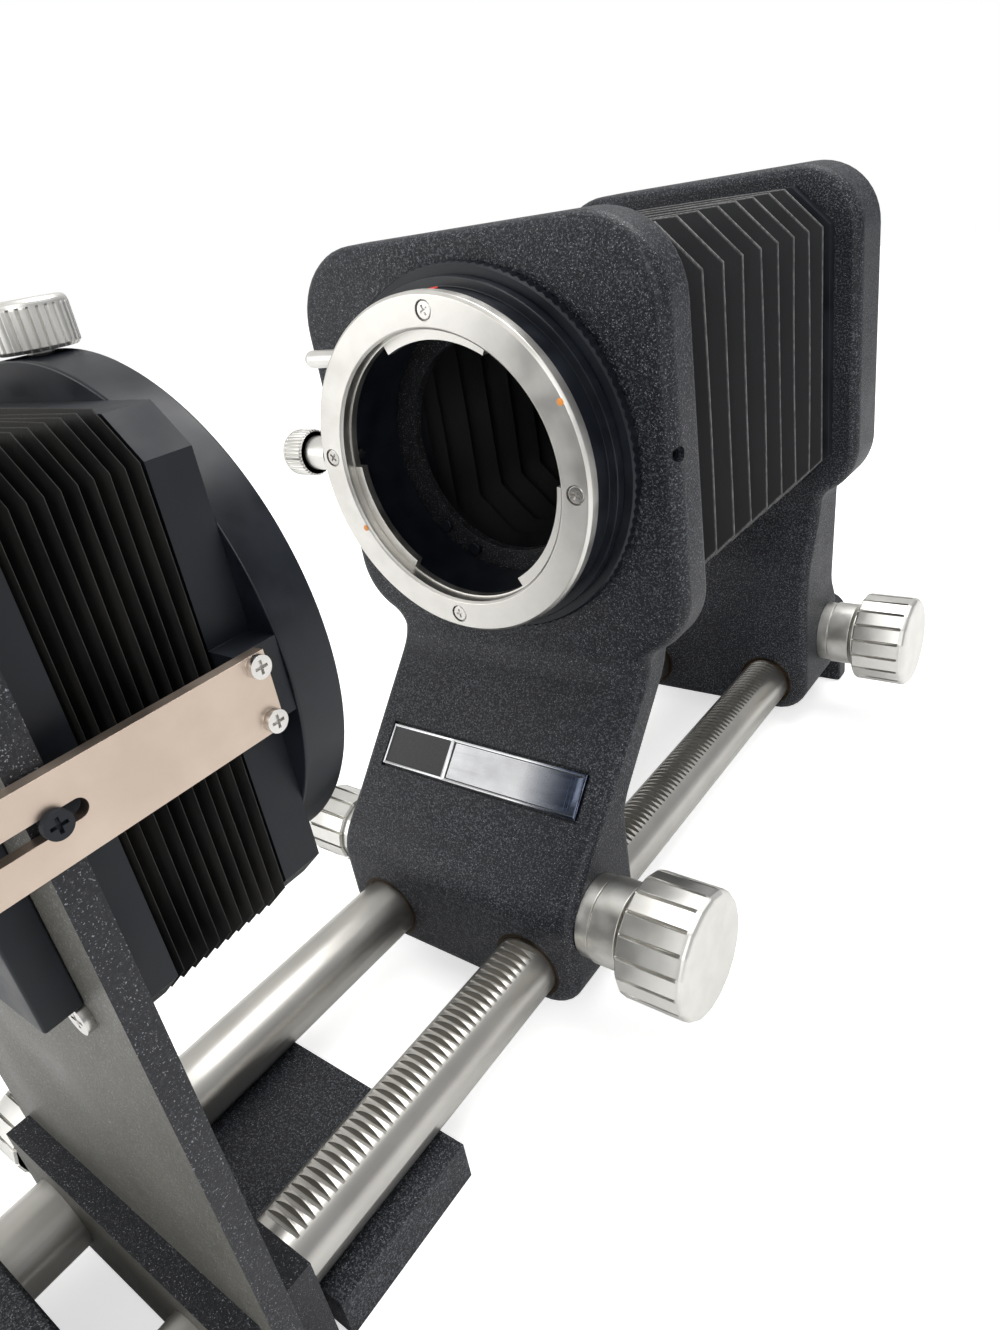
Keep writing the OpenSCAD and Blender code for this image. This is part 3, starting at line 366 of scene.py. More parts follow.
def bent(stops, z):
    """The same line with its corners blended over the bend's width."""
    steps = [2 * i / (BEND_SAMPLES - 1) - 1 for i in range(BEND_SAMPLES)]
    return sum(on_line(stops, z + BEND * step) for step in steps) / BEND_SAMPLES


def slice_at(bm, point, across):
    """Adds edges where a plane through a point crosses the mesh."""
    bmesh.ops.bisect_plane(bm, geom=bm.verts[:] + bm.edges[:] + bm.faces[:], dist=1e-7,
                           plane_co=point, plane_no=across)


def casting(front, rear, drop):
    """Plate of the standard's outline. Its two faces follow side lines of (z, y) stops."""
    bm = bmesh.new()
    thick = rear[0][1] - front[0][1]
    face = outline_face(bm, casting_outline(drop), lambda x, z: (x, 0, z))
    extrude(bm, face, (0, thick, 0))
    soften(bm, CAST_EDGE, 5, 50)
    corners = [z for z, _ in front[1:] + rear[1:] if z > -drop]
    heights = {round(z + BEND * (2 * i / BEND_CUTS - 1), 6) for z in corners for i in range(BEND_CUTS + 1)}
    for z in sorted(heights):
        slice_at(bm, (0, 0, z), (0, 0, 1))
    for v in bm.verts:
        line, base = (front, 0) if v.co.y < thick / 2 else (rear, thick)
        v.co.y += bent(line, v.co.z) - base
    bmesh.ops.translate(bm, verts=bm.verts, vec=(0, 0, AXIS_Z))
    return bm


def rod_along(bm, start, end, r, segments=64):
    """Closed cylinder between two points."""
    a, b = Vector(start), Vector(end)
    turn_to = (b - a).to_track_quat("Z", "Y").to_matrix().to_4x4()
    bmesh.ops.create_cone(bm, cap_ends=True, segments=segments, radius1=r, radius2=r,
                          depth=(b - a).length, matrix=Matrix.Translation((a + b) / 2) @ turn_to)


def open_casting(piece, front_y, rear_y, toe_y, heel_y):
    """Cuts the light opening and the bores for the rods."""
    cutter = bmesh.new()
    rod_along(cutter, (0, front_y - CUT_PAST, AXIS_Z), (0, rear_y + CUT_PAST, AXIS_Z), LIGHT_R, 128)
    for x in (-ROD_X, ROD_X):
        rod_along(cutter, (x, toe_y - CUT_PAST, ROD_Z), (x, heel_y + CUT_PAST, ROD_Z), ROD_BORE_R)
    cut(piece, cutter)


def even_shading(piece):
    """Smooth shading with the cutters' edges kept sharp."""
    piece.data.shade_smooth()
    piece.data.set_sharp_from_angle(angle=radians(40))


front_low, front_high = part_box("front_standard")
FRONT_Y, FRONT_BACK, FOOT_L, CALF_PAST = 82.5 * MM, front_high.y, 24 * MM, 0.5 * MM
KNEE_Z, TOE_Z, CALF_Z, FOOT_DROP = -42 * MM, -77 * MM, -64.5 * MM, AXIS_Z - front_low.z
front_heel_y = front_low.y + FOOT_L
bm = casting([(PLATE_TOP, FRONT_Y), (KNEE_Z, FRONT_Y), (TOE_Z, front_low.y), (-FOOT_DROP, front_low.y)],
             [(PLATE_TOP, FRONT_BACK), (KNEE_Z, FRONT_BACK), (CALF_Z, front_heel_y + CALF_PAST),
              (-FOOT_DROP, front_heel_y)], FOOT_DROP)
front_casting = place(bm, "front_casting", paint, "wrinkle_paint", "front_standard", "front_standard")
open_casting(front_casting, FRONT_Y, FRONT_BACK, front_low.y, front_heel_y)

rear_low, rear_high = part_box("rear_standard")
REAR_Y, REAR_BACK = 176.5 * MM, 192.5 * MM
REAR_TOE_Z, HEEL_Z, HEEL_BEND = -58 * MM, -72 * MM, 4 * MM
bm = casting([(PLATE_TOP, REAR_Y), (KNEE_Z, REAR_Y), (REAR_TOE_Z, rear_low.y), (-FOOT_DROP, rear_low.y)],
             [(PLATE_TOP, REAR_BACK), (HEEL_Z + HEEL_BEND, REAR_BACK), (HEEL_Z, rear_high.y),
              (-FOOT_DROP, rear_high.y)], FOOT_DROP)
rear_casting = place(bm, "rear_casting", paint, "wrinkle_paint", "rear_standard", "rear_standard")
open_casting(rear_casting, REAR_Y, REAR_BACK, rear_low.y, rear_high.y)

# The nameplate's recess and the small set-screw hole are only in the front casting.
NAME_W, NAME_H, NAME_DOWN, RECESS, RECESS_SLACK = 50 * MM, 9 * MM, 25 * MM, 0.8 * MM, 0.6 * MM
SET_SCREW_R, SET_SCREW_Y, SET_SCREW_UP, SET_SCREW_DEPTH = 1.3 * MM, 84.2 * MM, 0.8 * MM, 5 * MM
slope_run, slope_rise = front_low.y - FRONT_Y, TOE_Z - KNEE_Z
slope_share = NAME_DOWN / hypot(slope_run, slope_rise)
slope_tilt = pi / 2 - atan2(-slope_run, -slope_rise)
slope_at = (0, FRONT_Y + slope_run * slope_share, AXIS_Z + KNEE_Z + slope_rise * slope_share)
on_slope = Matrix.Translation(slope_at) @ Matrix.Rotation(slope_tilt, 4, "X")


def box(bm, low, high, matrix=None):
    """Closed box between two corners, then turned into place."""
    a, b = Vector(low), Vector(high)
    new = bmesh.ops.create_cube(bm, size=1)["verts"]
    bmesh.ops.scale(bm, verts=new, vec=b - a)
    bmesh.ops.translate(bm, verts=new, vec=(a + b) / 2)
    if matrix:
        bmesh.ops.transform(bm, verts=new, matrix=matrix)


cutter = bmesh.new()
recess_x, recess_z = NAME_W / 2 + RECESS_SLACK, NAME_H / 2 + RECESS_SLACK
box(cutter, (-recess_x, -recess_z, -RECESS), (recess_x, recess_z, 2 * CUT_PAST), on_slope)
screw_z = AXIS_Z + SET_SCREW_UP
rod_along(cutter, (PLATE_HALF - SET_SCREW_DEPTH, SET_SCREW_Y, screw_z),
          (PLATE_HALF + CUT_PAST, SET_SCREW_Y, screw_z), SET_SCREW_R, 24)
cut(front_casting, cutter)
for piece in (front_casting, rear_casting):
    even_shading(piece)

# ---- Bushes, pinions and pads ----
# Pressed brass bushes, dark with oil, run on the rods. Each standard holds a small steel
# pinion on a shaft that crosses it, and a pad that the lock presses on the shaft's end.


def oiled_brass():
    material, tree, shader = finish("oiled_brass", 1.0)
    grain = flecks(tree, 2500.0, 3)
    connect(shader,
            Base_Color=clouded(tree, grain, (0.02, 0.014, 0.009), (0.06, 0.04, 0.024)),
            Roughness=levels(tree, grain, 0.4, 0.6))
    return material


dark_brass = oiled_brass()
for node in ("front_rod_bushes", "rear_rod_bushes", "front_lock_pad", "rear_lock_pad"):
    dress(node, dark_brass)
for node in ("front_pinion", "rear_pinion", "front_lock_screw", "rear_lock_screw"):
    dress(node, plain_steel)

# ---- Nameplate ----
# A thin bright metal plate is glued in the recess of the front slope. A raised rim and a bar
# frame its enamelled left third and its polished field, each in a dark gap. It is bare, and
# two fine lines are cut at its right end.
NAMEPLATE_T, FIELD_DOWN, RIM, GAP = 1.1 * MM, 0.25 * MM, 0.75 * MM, 0.32 * MM
LEFT_SHARE, BLUE_TINT, TINT_FROM, TINT_TO = 0.34, (0.06, 0.09, 0.16), 11 * MM, 21 * MM
LINES_IN, LINE_W, LINE_DOWN, LINE_SHORT = (2.2 * MM, 3.1 * MM), 0.3 * MM, 0.08 * MM, 0.4 * MM


def polished_plate():
    """Bright plate, nearly a mirror, with a blue tint towards its right end."""
    material, tree, shader = finish("bright_nameplate", 1.0)
    brushed = speckle(tree, spot(tree, (60, 900, 900)), 1.0, 2)
    cloud = flecks(tree, 120.0, 3)
    bright = clouded(tree, cloud, (0.47, 0.475, 0.49), (0.57, 0.575, 0.59))
    along = add(tree, "SeparateXYZ", Vector=spot(tree)).outputs["X"]
    end = levels(tree, along, 0, 0.85, TINT_FROM, TINT_TO)
    connect(shader,
            Base_Color=blend_to(tree, end, bright, BLUE_TINT),
            Roughness=levels(tree, brushed, 0.16, 0.24))
    return material


def dark_enamel():
    material, tree, shader = finish("dark_enamel", 0.0)
    grain = flecks(tree, 3000.0, 2)
    connect(shader,
            Base_Color=clouded(tree, grain, (0.012, 0.013, 0.015), (0.03, 0.031, 0.034)),
            Roughness=levels(tree, grain, 0.35, 0.5),
            Normal=relief(tree, grain, 0.02 * MM, 0.4))
    return material


bm = bmesh.new()
box(bm, (-NAME_W / 2, -NAME_H / 2, -RECESS), (NAME_W / 2, NAME_H / 2, NAMEPLATE_T - RECESS))
divide_at = -NAME_W / 2 + NAME_W * LEFT_SHARE
slice_at(bm, (divide_at, 0, 0), (1, 0, 0))
bm.normal_update()
fields = [f for f in bm.faces if f.normal.z > 0.9]
bmesh.ops.inset_individual(bm, faces=fields, thickness=RIM, depth=0)
gaps = bmesh.ops.inset_individual(bm, faces=fields, thickness=GAP, depth=-FIELD_DOWN)["faces"]
enamelled = gaps + [f for f in fields if f.calc_center_median().x < divide_at]
for face in enamelled:
    face.material_index = 1
soften(bm, 0.1 * MM, 1, 50)
bmesh.ops.transform(bm, matrix=on_slope, verts=bm.verts)
plate = place(bm, "nameplate_bare", [polished_plate(), dark_enamel()], "satin_chrome", "front_standard",
              "nameplate")
cutter = bmesh.new()
line_half = NAME_H / 2 - RIM - LINE_SHORT
for inward in LINES_IN:
    line_x = NAME_W / 2 - inward
    box(cutter, (line_x - LINE_W / 2, -line_half, -LINE_DOWN), (line_x + LINE_W / 2, line_half, MM), on_slope)
cut(plate, cutter)
even_shading(plate)

# ---- Focus knobs ----
# On the right of each standard a fixed turned collar carries the pinion's shaft, and a
# fluted aluminium knob turns beside it. The collar has a seam groove and a small hole.
ALU_DARK, ALU_LIGHT, ALU_WORN = (0.71, 0.70, 0.665), (0.79, 0.78, 0.745), (0.60, 0.59, 0.55)
COLLAR_BORE, SHAFT_BORE, CUT_CREASE = 2.55 * MM, 2.52 * MM, 38
KNOB_COLLAR_R, SEAM_AT, SEAM_W, SEAM_DEPTH = 8.5 * MM, 3 * MM, 0.35 * MM, 0.8 * MM
NECK_L, NECK_SLOPE, NECK_DOWN = 1.1 * MM, 0.4 * MM, 1.5 * MM
SPIGOT_R, SPIGOT_L, PIN_HOLE_R, PIN_HOLE_AT = 4 * MM, 5.5 * MM, 0.8 * MM, 7 * MM


def turned_metal(name, axis, centre, dark, light, smooth, rough, metallic=1.0, line=0.004 * MM, sheen=0.5):
    """Metal turned in a lathe: fine rings about its own axis, smears and rubbed spots."""
    material, tree, shader = finish(name, metallic, Specular_IOR_Level=sheen)
    from_axis = spot(tree, [0 if c == axis else 1 for c in "XYZ"], centre)
    radius = add(tree, "VectorMath", {"operation": "LENGTH"}, _0=from_axis).outputs[1]
    along = add(tree, "SeparateXYZ", Vector=spot(tree)).outputs[axis]
    rings = speckle(tree, add(tree, "CombineXYZ", X=along, Y=radius).outputs[0], 4200.0, 2)
    smear = flecks(tree, 180.0, 4)
    connect(shader,
            Base_Color=clouded(tree, smear, dark, light),
            Roughness=levels(tree, smear, smooth, rough),
            Normal=relief(tree, rings, line, 0.6))
    return material


def turned_aluminium(name, axis, centre):
    return turned_metal(name, axis, centre, ALU_DARK, ALU_LIGHT, 0.33, 0.4)


def turn(profile, centre, axis, steps=96):
    """Spins (place along the axis, radius) points about an axis into a closed shape."""
    along = Vector([1.0 if c == axis else 0.0 for c in "XYZ"])
    out = Vector((1, 0, 0)) if axis == "Z" else Vector((0, 0, 1))
    base = Vector(centre) - along * Vector(centre).dot(along)
    bm = bmesh.new()
    verts = [bm.verts.new(base + along * a + out * r) for a, r in profile]
    edges = [bm.edges.new(pair) for pair in zip(verts, verts[1:])]
    if profile[0][1] > 0:
        edges.append(bm.edges.new((verts[-1], verts[0])))
    bmesh.ops.spin(bm, geom=verts + edges, cent=base, axis=along, angle=2 * pi, steps=steps, use_merge=True)
    bmesh.ops.remove_doubles(bm, verts=bm.verts, dist=MERGE)
    bmesh.ops.recalc_face_normals(bm, faces=bm.faces)
    return bm


def drill(piece, *holes):
    """Bores holes given as (start, end, radius) in a piece."""
    cutter = bmesh.new()
    for start, end, r in holes:
        rod_along(cutter, start, end, r, 32)
    cut(piece, cutter)
    piece.data.set_sharp_from_angle(angle=radians(CUT_CREASE))


def middle(node):
    low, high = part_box(node)
    return (low + high) / 2


def knob_collar(side):
    node = side + "_knob_collar"
    centre, high = middle(side + "_pinion"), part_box(node)[1]
    inner, seam, r = LEG_HALF, LEG_HALF + SEAM_AT, KNOB_COLLAR_R
    first_r, groove_r, neck_r = r - SEAM_DEPTH / 2, r - SEAM_DEPTH, r - NECK_DOWN
    profile = [(inner - SPIGOT_L, COLLAR_BORE), (inner - SPIGOT_L, SPIGOT_R), (inner, SPIGOT_R),
               (inner, first_r), (seam - SEAM_W, first_r), (seam - SEAM_W, groove_r),
               (seam, groove_r), (seam, r), (high.x - NECK_L - NECK_SLOPE, r),
               (high.x - NECK_L, neck_r), (high.x, neck_r), (high.x, COLLAR_BORE)]
    bm = turn(profile, centre, "X")
    soften(bm, 0.15 * MM)
    metal = turned_metal(node + "_metal", "X", centre, ALU_WORN, ALU_LIGHT, 0.34, 0.44)
    piece = place(bm, node + "_turned", metal, "satin_aluminium", side + "_standard", node)
    hole = Vector((inner + PIN_HOLE_AT, centre.y, centre.z - r))
    drill(piece, (hole - Vector((0, 0, MM)), hole + Vector((0, 0, MM)), PIN_HOLE_R))


SHOULDER_STEPS, BOWL_STEPS, LIP, GRIP_CHAMFER = 6, 7, 0.25 * MM, 0.4 * MM


def fluted_grip(at, out, length, r, flutes, depth, stem=(), shoulder=2.0 * MM, dish=1.1 * MM, groove=1.6,
                rim=0.84):
    """Grip of flats parted by narrow grooves, from a point outwards, with a round shoulder, a
    rim and a hollow end. The stem is (length, radius) stages from its far end up to the grip.
    The grooves' width is in degrees, and the rim's radius is a share of the grip's."""
    step, half = 2 * pi / flutes, radians(groove)
    bm = bmesh.new()

    def shape(ring, radius, floor):
        for v in ring.verts:
            a = atan2(v.co.y, v.co.x)
            off = abs((a + step / 2) % step - step / 2)
            d = floor if off < half / 2 else radius
            v.co.x, v.co.y = d * cos(a), d * sin(a)

    def grow(ring, rise, radius, floor=None):
        end = extrude(bm, ring, (0, 0, rise))
        shape(end, radius, radius if floor is None else floor)
        return end

    first_r = stem[0][1] if stem else r - GRIP_CHAMFER
    back = -sum(part[0] for part in stem)
    angles = [i * step + turned for i in range(flutes) for turned in (-half, 0, half)]
    ring = bm.faces.new([bm.verts.new((first_r * cos(a), first_r * sin(a), back)) for a in angles])
    for i, (part_l, part_r) in enumerate(stem):
        if i:
            ring = grow(ring, 0, part_r)
        ring = grow(ring, part_l, part_r)
    if stem:
        ring = grow(ring, 0, r - GRIP_CHAMFER)
    ring = grow(ring, GRIP_CHAMFER, r, r - depth)
    ring = grow(ring, length - GRIP_CHAMFER - shoulder, r, r - depth)
    runout, edge_r, rim_r = depth / 2, r - depth / 10, r * rim
    ring = grow(ring, runout, edge_r)
    bend = arc(0, 0, 1, 0, 90, SHOULDER_STEPS)
    for (_, up0), (share, up1) in zip(bend, bend[1:]):
        ring = grow(ring, (up1 - up0) * (shoulder - runout), rim_r + (edge_r - rim_r) * share)
    shares = [1 - i / BOWL_STEPS for i in range(BOWL_STEPS)]
    for before, share in zip(shares, shares[1:]):
        ring = grow(ring, dish * (share ** 2 - before ** 2), (rim_r - LIP) * share)
    bmesh.ops.poke(bm, faces=[ring])
    soften(bm, 0.1 * MM, 2, 32)
    stand = Matrix.Translation(Vector(at)) @ Vector(out).to_track_quat("Z", "Y").to_matrix().to_4x4()
    bmesh.ops.transform(bm, matrix=stand, verts=bm.verts)
    return bm


KNOB_R, KNOB_FLUTES, KNOB_GROOVE = 12 * MM, 18, 0.75 * MM
SCREW_IN, SCREW_HOLE_R = 4 * MM, 1.52 * MM


def focus_knob(side):
    node = side + "_focus_knob"
    centre = middle(side + "_pinion")
    low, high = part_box(node)
    metal = turned_aluminium(node + "_metal", "X", centre)
    start = Vector((low.x, centre.y, centre.z))
    bm = fluted_grip(start, (1, 0, 0), high.x - low.x, KNOB_R, KNOB_FLUTES, KNOB_GROOVE)
    piece = place(bm, node + "_fluted", metal, "satin_aluminium", side + "_focus", node)
    shaft_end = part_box(side + "_pinion")[1].x
    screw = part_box(side + "_knob_set_screw")
    up = 1 if screw[1].z > centre.z else -1
    side_hole = Vector((low.x + SCREW_IN, centre.y, centre.z))
    drill(piece, (start - Vector((MM, 0, 0)), (shaft_end, centre.y, centre.z), SHAFT_BORE),
          (side_hole, side_hole + Vector((0, 0, up * (KNOB_R + CUT_PAST))), SCREW_HOLE_R))
    dress(side + "_knob_set_screw", plain_steel)


for side in ("front", "rear"):
    knob_collar(side)
    focus_knob(side)

# ---- Locks ----
# On the left of each standard a fluted knob turns a long screw in line with the pinion. The
# slide copier's foot has one of its own. They are turned aluminium like the focus knobs.
LOCK_FLUTES, LOCK_GROOVE, LOCK_GROOVE_W, LOCK_SHOULDER, LOCK_DISH = 14, 0.8 * MM, 2.2, 1.4 * MM, 0.8 * MM
LOCK_L, LOCK_R, LOCK_NECK_L, LOCK_NECK_R, LOCK_BORE_L = 11 * MM, 8 * MM, 2 * MM, 7.2 * MM, 9 * MM
CLAMP_L, CLAMP_R, CLAMP_SHANK_R = 10 * MM, 7 * MM, 2.5 * MM


def lock_knob(node, body, length, r, stem, bore=0.0):
    low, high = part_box(node)
    centre = middle(node)
    metal = turned_aluminium(node + "_metal", "X", centre)
    start = Vector((low.x + length, centre.y, centre.z))
    bm = fluted_grip(start, (-1, 0, 0), length, r, LOCK_FLUTES, LOCK_GROOVE, stem,
                     LOCK_SHOULDER, LOCK_DISH, LOCK_GROOVE_W)
    piece = place(bm, node + "_fluted", metal, "satin_aluminium", body, node)
    if bore:
        drill(piece, ((high.x + MM, centre.y, centre.z), (high.x - bore, centre.y, centre.z), SHAFT_BORE))


for side in ("front", "rear"):
    lock_knob(side + "_lock_knob", side + "_lock", LOCK_L, LOCK_R, [(LOCK_NECK_L, LOCK_NECK_R)], LOCK_BORE_L)
clamp_low, clamp_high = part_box("copier_clamp_knob")
clamp_stem = [(clamp_high.x - clamp_low.x - CLAMP_L, CLAMP_SHANK_R)]
lock_knob("copier_clamp_knob", "copier_clamp", CLAMP_L, CLAMP_R, clamp_stem)

# ---- Lens mount ----
# A satin chrome bayonet ring is screwed on a black stepped collar in front of the plate.
# Three lugs stand behind its throat. A fine-knurled ring turns between collar and plate.
RING_R, THROAT_R, RING_Y, RING_T = 31 * MM, 24.9 * MM, 71 * MM, 2.4 * MM
SKIRT_R, SKIRT_IN, LUG_IN, LUG_T = 25.15 * MM, 24.6 * MM, 22.9 * MM, 1.5 * MM
LUG_ANGLES, LUG_SWEEP = (60, 180, 300), 55
RING_EDGE, LUG_ROOT = 0.5 * MM, 0.1 * MM
RING_DARK, RING_LIGHT = (0.66, 0.645, 0.61), (0.75, 0.735, 0.70)
SCREW_CIRCLE, SCREW_TURN, SCREW_SINK, SCREW_SEAT_R = 28 * MM, 5, 0.8 * MM, 1.75 * MM
SCREW_R, SCREW_HEAD_L = 1.55 * MM, 0.65 * MM
CROSS_LONG, CROSS_WIDE, CROSS_UP, DOME = 0.58, 0.13, 0.3, 0.35
FIRST_TURN, NEXT_TURN = 25, 37
axis_point = Vector((0, 0, AXIS_Z))


def about_axis(r, degrees_up, y):
    """Point on a circle about the lens axis, anticlockwise from the right as seen from the front."""
    a = radians(degrees_up)
    return Vector((r * cos(a), y, AXIS_Z + r * sin(a)))


def cross_screws(places, r, height):
    """Domed screw heads that face the front on given places, each with its cross turned."""
    out = Vector((0, -1, 0))
    bm, cutter = bmesh.new(), bmesh.new()
    arm, half = r * CROSS_LONG, r * CROSS_WIDE
    cross = [(half, arm), (half, half), (arm, half), (arm, -half), (half, -half), (half, -arm)]
    cross += [(-a, -b) for a, b in cross]
    facing = out.to_track_quat("Z", "Y").to_matrix().to_4x4()
    for i, point in enumerate(places):
        rod_along(bm, point - out * height, point + out * height, r, 32)
        stand = Matrix.Translation(point + out * height * CROSS_UP) @ facing
        turned = stand @ Matrix.Rotation(radians(FIRST_TURN + NEXT_TURN * i), 4, "Z")
        face = outline_face(cutter, cross, lambda a, b: turned @ Vector((a, b, 0)))
        extrude(cutter, face, out * height)
    soften(bm, height * DOME, 3)
    piece = place(bm, "lens_ring_screws", chrome, "satin_chrome", "front_standard", "lens_mount_screws")
    cut(piece, cutter)
    piece.data.set_sharp_from_angle(angle=radians(CUT_CREASE))


ring_chrome = turned_metal("ring_chrome", "Y", axis_point, RING_DARK, RING_LIGHT, 0.34, 0.44)
ring_back = RING_Y + RING_T
profile = [(RING_Y, THROAT_R + RING_EDGE), (RING_Y, RING_R - RING_EDGE), (RING_Y + RING_EDGE, RING_R),
           (ring_back, RING_R), (ring_back, SKIRT_R), (ring_back + LUG_T, SKIRT_R),
           (ring_back + LUG_T, SKIRT_IN), (ring_back, SKIRT_IN), (ring_back, THROAT_R),
           (RING_Y + RING_EDGE, THROAT_R)]
bm = turn(profile, axis_point, "Y", 160)
soften(bm, 0.1 * MM, 2, 25)
for start in LUG_ANGLES:
    corners = [about_axis(r, start, ring_back + y) for r, y in
               ((LUG_IN, 0), (SKIRT_IN + LUG_ROOT, 0), (SKIRT_IN + LUG_ROOT, LUG_T), (LUG_IN, LUG_T))]
    face = bm.faces.new([bm.verts.new(p) for p in corners])
    bmesh.ops.spin(bm, geom=[face], cent=axis_point, axis=(0, -1, 0), angle=radians(LUG_SWEEP), steps=24)
ring = place(bm, "lens_ring", ring_chrome, "satin_chrome", "front_standard", "lens_mount_ring", crease=30)
screw_places = [about_axis(SCREW_CIRCLE, a - SCREW_TURN, RING_Y + SCREW_SINK) for a in (90, 0, -90, -180)]
drill(ring, *[(p - Vector((0, CUT_PAST, 0)), p, SCREW_SEAT_R) for p in screw_places])
cross_screws(screw_places, SCREW_R, SCREW_HEAD_L)


BLACK_DARK, BLACK_LIGHT, BLACK_SHEEN = (0.0045, 0.006, 0.0095), (0.0095, 0.012, 0.0175), 0.35


def turned_black(name):
    """Black anodised metal turned about the lens axis."""
    return turned_metal(name, "Y", axis_point, BLACK_DARK, BLACK_LIGHT, 0.28, 0.4, metallic=0.0,
                        line=0.003 * MM, sheen=BLACK_SHEEN)


def satin_black(name, rough=(0.3, 0.44)):
    """Black anodised metal with a soft sheen."""
    material, tree, shader = finish(name, 0.0, Specular_IOR_Level=BLACK_SHEEN)
    cloud = flecks(tree, 140.0, 4)
    grain = flecks(tree, 2600.0, 2)
    connect(shader,
            Base_Color=clouded(tree, cloud, BLACK_DARK, BLACK_LIGHT),
            Roughness=levels(tree, cloud, *rough),
            Normal=relief(tree, grain, 0.015 * MM, 0.4))
    return material


COLLAR_IN, COLLAR_R, STEP_R, HUB_R = 25.2 * MM, 30.6 * MM, 32.3 * MM, 30.3 * MM
STEP_Y, STEP_END, SLEEVE_R, SLEEVE_L = 77.5 * MM, 79.7 * MM, LIGHT_R - 0.02 * MM, 5 * MM
THUMB_HOLE_R, THUMB_HOLE_L = 1.25 * MM, 20 * MM
PIN_BORE_R, PIN_BORE_OUT, PIN_BORE_IN = 1.75 * MM, 8 * MM, 10 * MM
collar_black = turned_black("collar_black")
profile = [(ring_back, COLLAR_IN), (ring_back, COLLAR_R), (STEP_Y, COLLAR_R), (STEP_Y, STEP_R),
           (STEP_END, STEP_R), (STEP_END, HUB_R), (FRONT_Y, HUB_R), (FRONT_Y, SLEEVE_R),
           (FRONT_Y + SLEEVE_L, SLEEVE_R), (FRONT_Y + SLEEVE_L, COLLAR_IN)]
bm = turn(profile, axis_point, "Y", 160)
soften(bm, 0.25 * MM, 2)
collar = place(bm, "lens_collar", collar_black, "black_satin", "front_standard", "lens_mount_collar",
               crease=30)
thumb_at, release_at = middle("lens_mount_lock_knob"), middle("lens_release_button")
drill(collar, (thumb_at, thumb_at + Vector((THUMB_HOLE_L, 0, 0)), THUMB_HOLE_R),
      (release_at - Vector((PIN_BORE_OUT, 0, 0)), release_at + Vector((PIN_BORE_IN, 0, 0)), PIN_BORE_R))

KNURL_R, KNURL_IN, KNURL_DEPTH, KNURLS = 34.3 * MM, 30.35 * MM, 0.35 * MM, 120
BEVEL_L, BEVEL_DOWN, ON_RIM = 0.4 * MM, 0.5 * MM, 0.1 * MM
low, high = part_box("lens_mount_knurled_ring")
profile = [(low.y, KNURL_IN), (low.y, KNURL_R - BEVEL_DOWN), (low.y + BEVEL_L, KNURL_R),
           (high.y - BEVEL_L, KNURL_R), (high.y, KNURL_R - BEVEL_DOWN), (high.y, KNURL_IN)]
bm = turn(profile, axis_point, "Y", 2 * KNURLS)
for v in bm.verts:
    out = Vector((v.co.x, 0, v.co.z - AXIS_Z))
    tooth = round(atan2(out.z, out.x) / pi * KNURLS)
    if tooth % 2 and out.length > KNURL_R - ON_RIM:
        v.co -= out.normalized() * KNURL_DEPTH
knurl_black = satin_black("knurl_black")
place(bm, "lens_knurled_ring", knurl_black, "black_satin", "lens_ring", "lens_mount_knurled_ring", crease=20)
dress("lens_mount_set_screw", knurl_black)

# ---- Index dots ----
# Drops of paint show how a lens goes on: a red one on the collar and two orange ones on the
# ring's face. The paint is a little mottled and slightly raised.
RED_AT, RED_R, ORANGE_R, PAINT_T = 87, 0.9 * MM, 0.6 * MM, 0.2 * MM
RED_PAINT, ORANGE_PAINT = (0.72, 0.03, 0.02), (0.85, 0.32, 0.06)
ORANGE_PLACES = ((25, 30.1 * MM), (207, 25.8 * MM))
DOT_SPLIT_Y, DOT_SPLIT_W = 73 * MM, 0.1 * MM


def dot_paint():
    material, tree, shader = finish("dot_paint", 0.0)
    back = add(tree, "SeparateXYZ", Vector=spot(tree)).outputs["Y"]
    which = levels(tree, back, 0, 1, DOT_SPLIT_Y, DOT_SPLIT_Y + DOT_SPLIT_W)
    mottle = flecks(tree, 2000.0, 2)
    connect(shader, Base_Color=blend_to(tree, which, ORANGE_PAINT, RED_PAINT),
            Roughness=levels(tree, mottle, 0.3, 0.5))
    return material


bm = bmesh.new()
red_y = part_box("lens_mount_index_dots")[1].y - RED_R
rod_along(bm, about_axis(COLLAR_R, RED_AT, red_y), about_axis(COLLAR_R + PAINT_T, RED_AT, red_y), RED_R, 32)
for at, r in ORANGE_PLACES:
    rod_along(bm, about_axis(r, at, RING_Y), about_axis(r, at, RING_Y - PAINT_T), ORANGE_R, 32)
soften(bm, 0.08 * MM, 2)
place(bm, "index_dots_painted", dot_paint(), "index_paint", "front_standard", "lens_mount_index_dots")

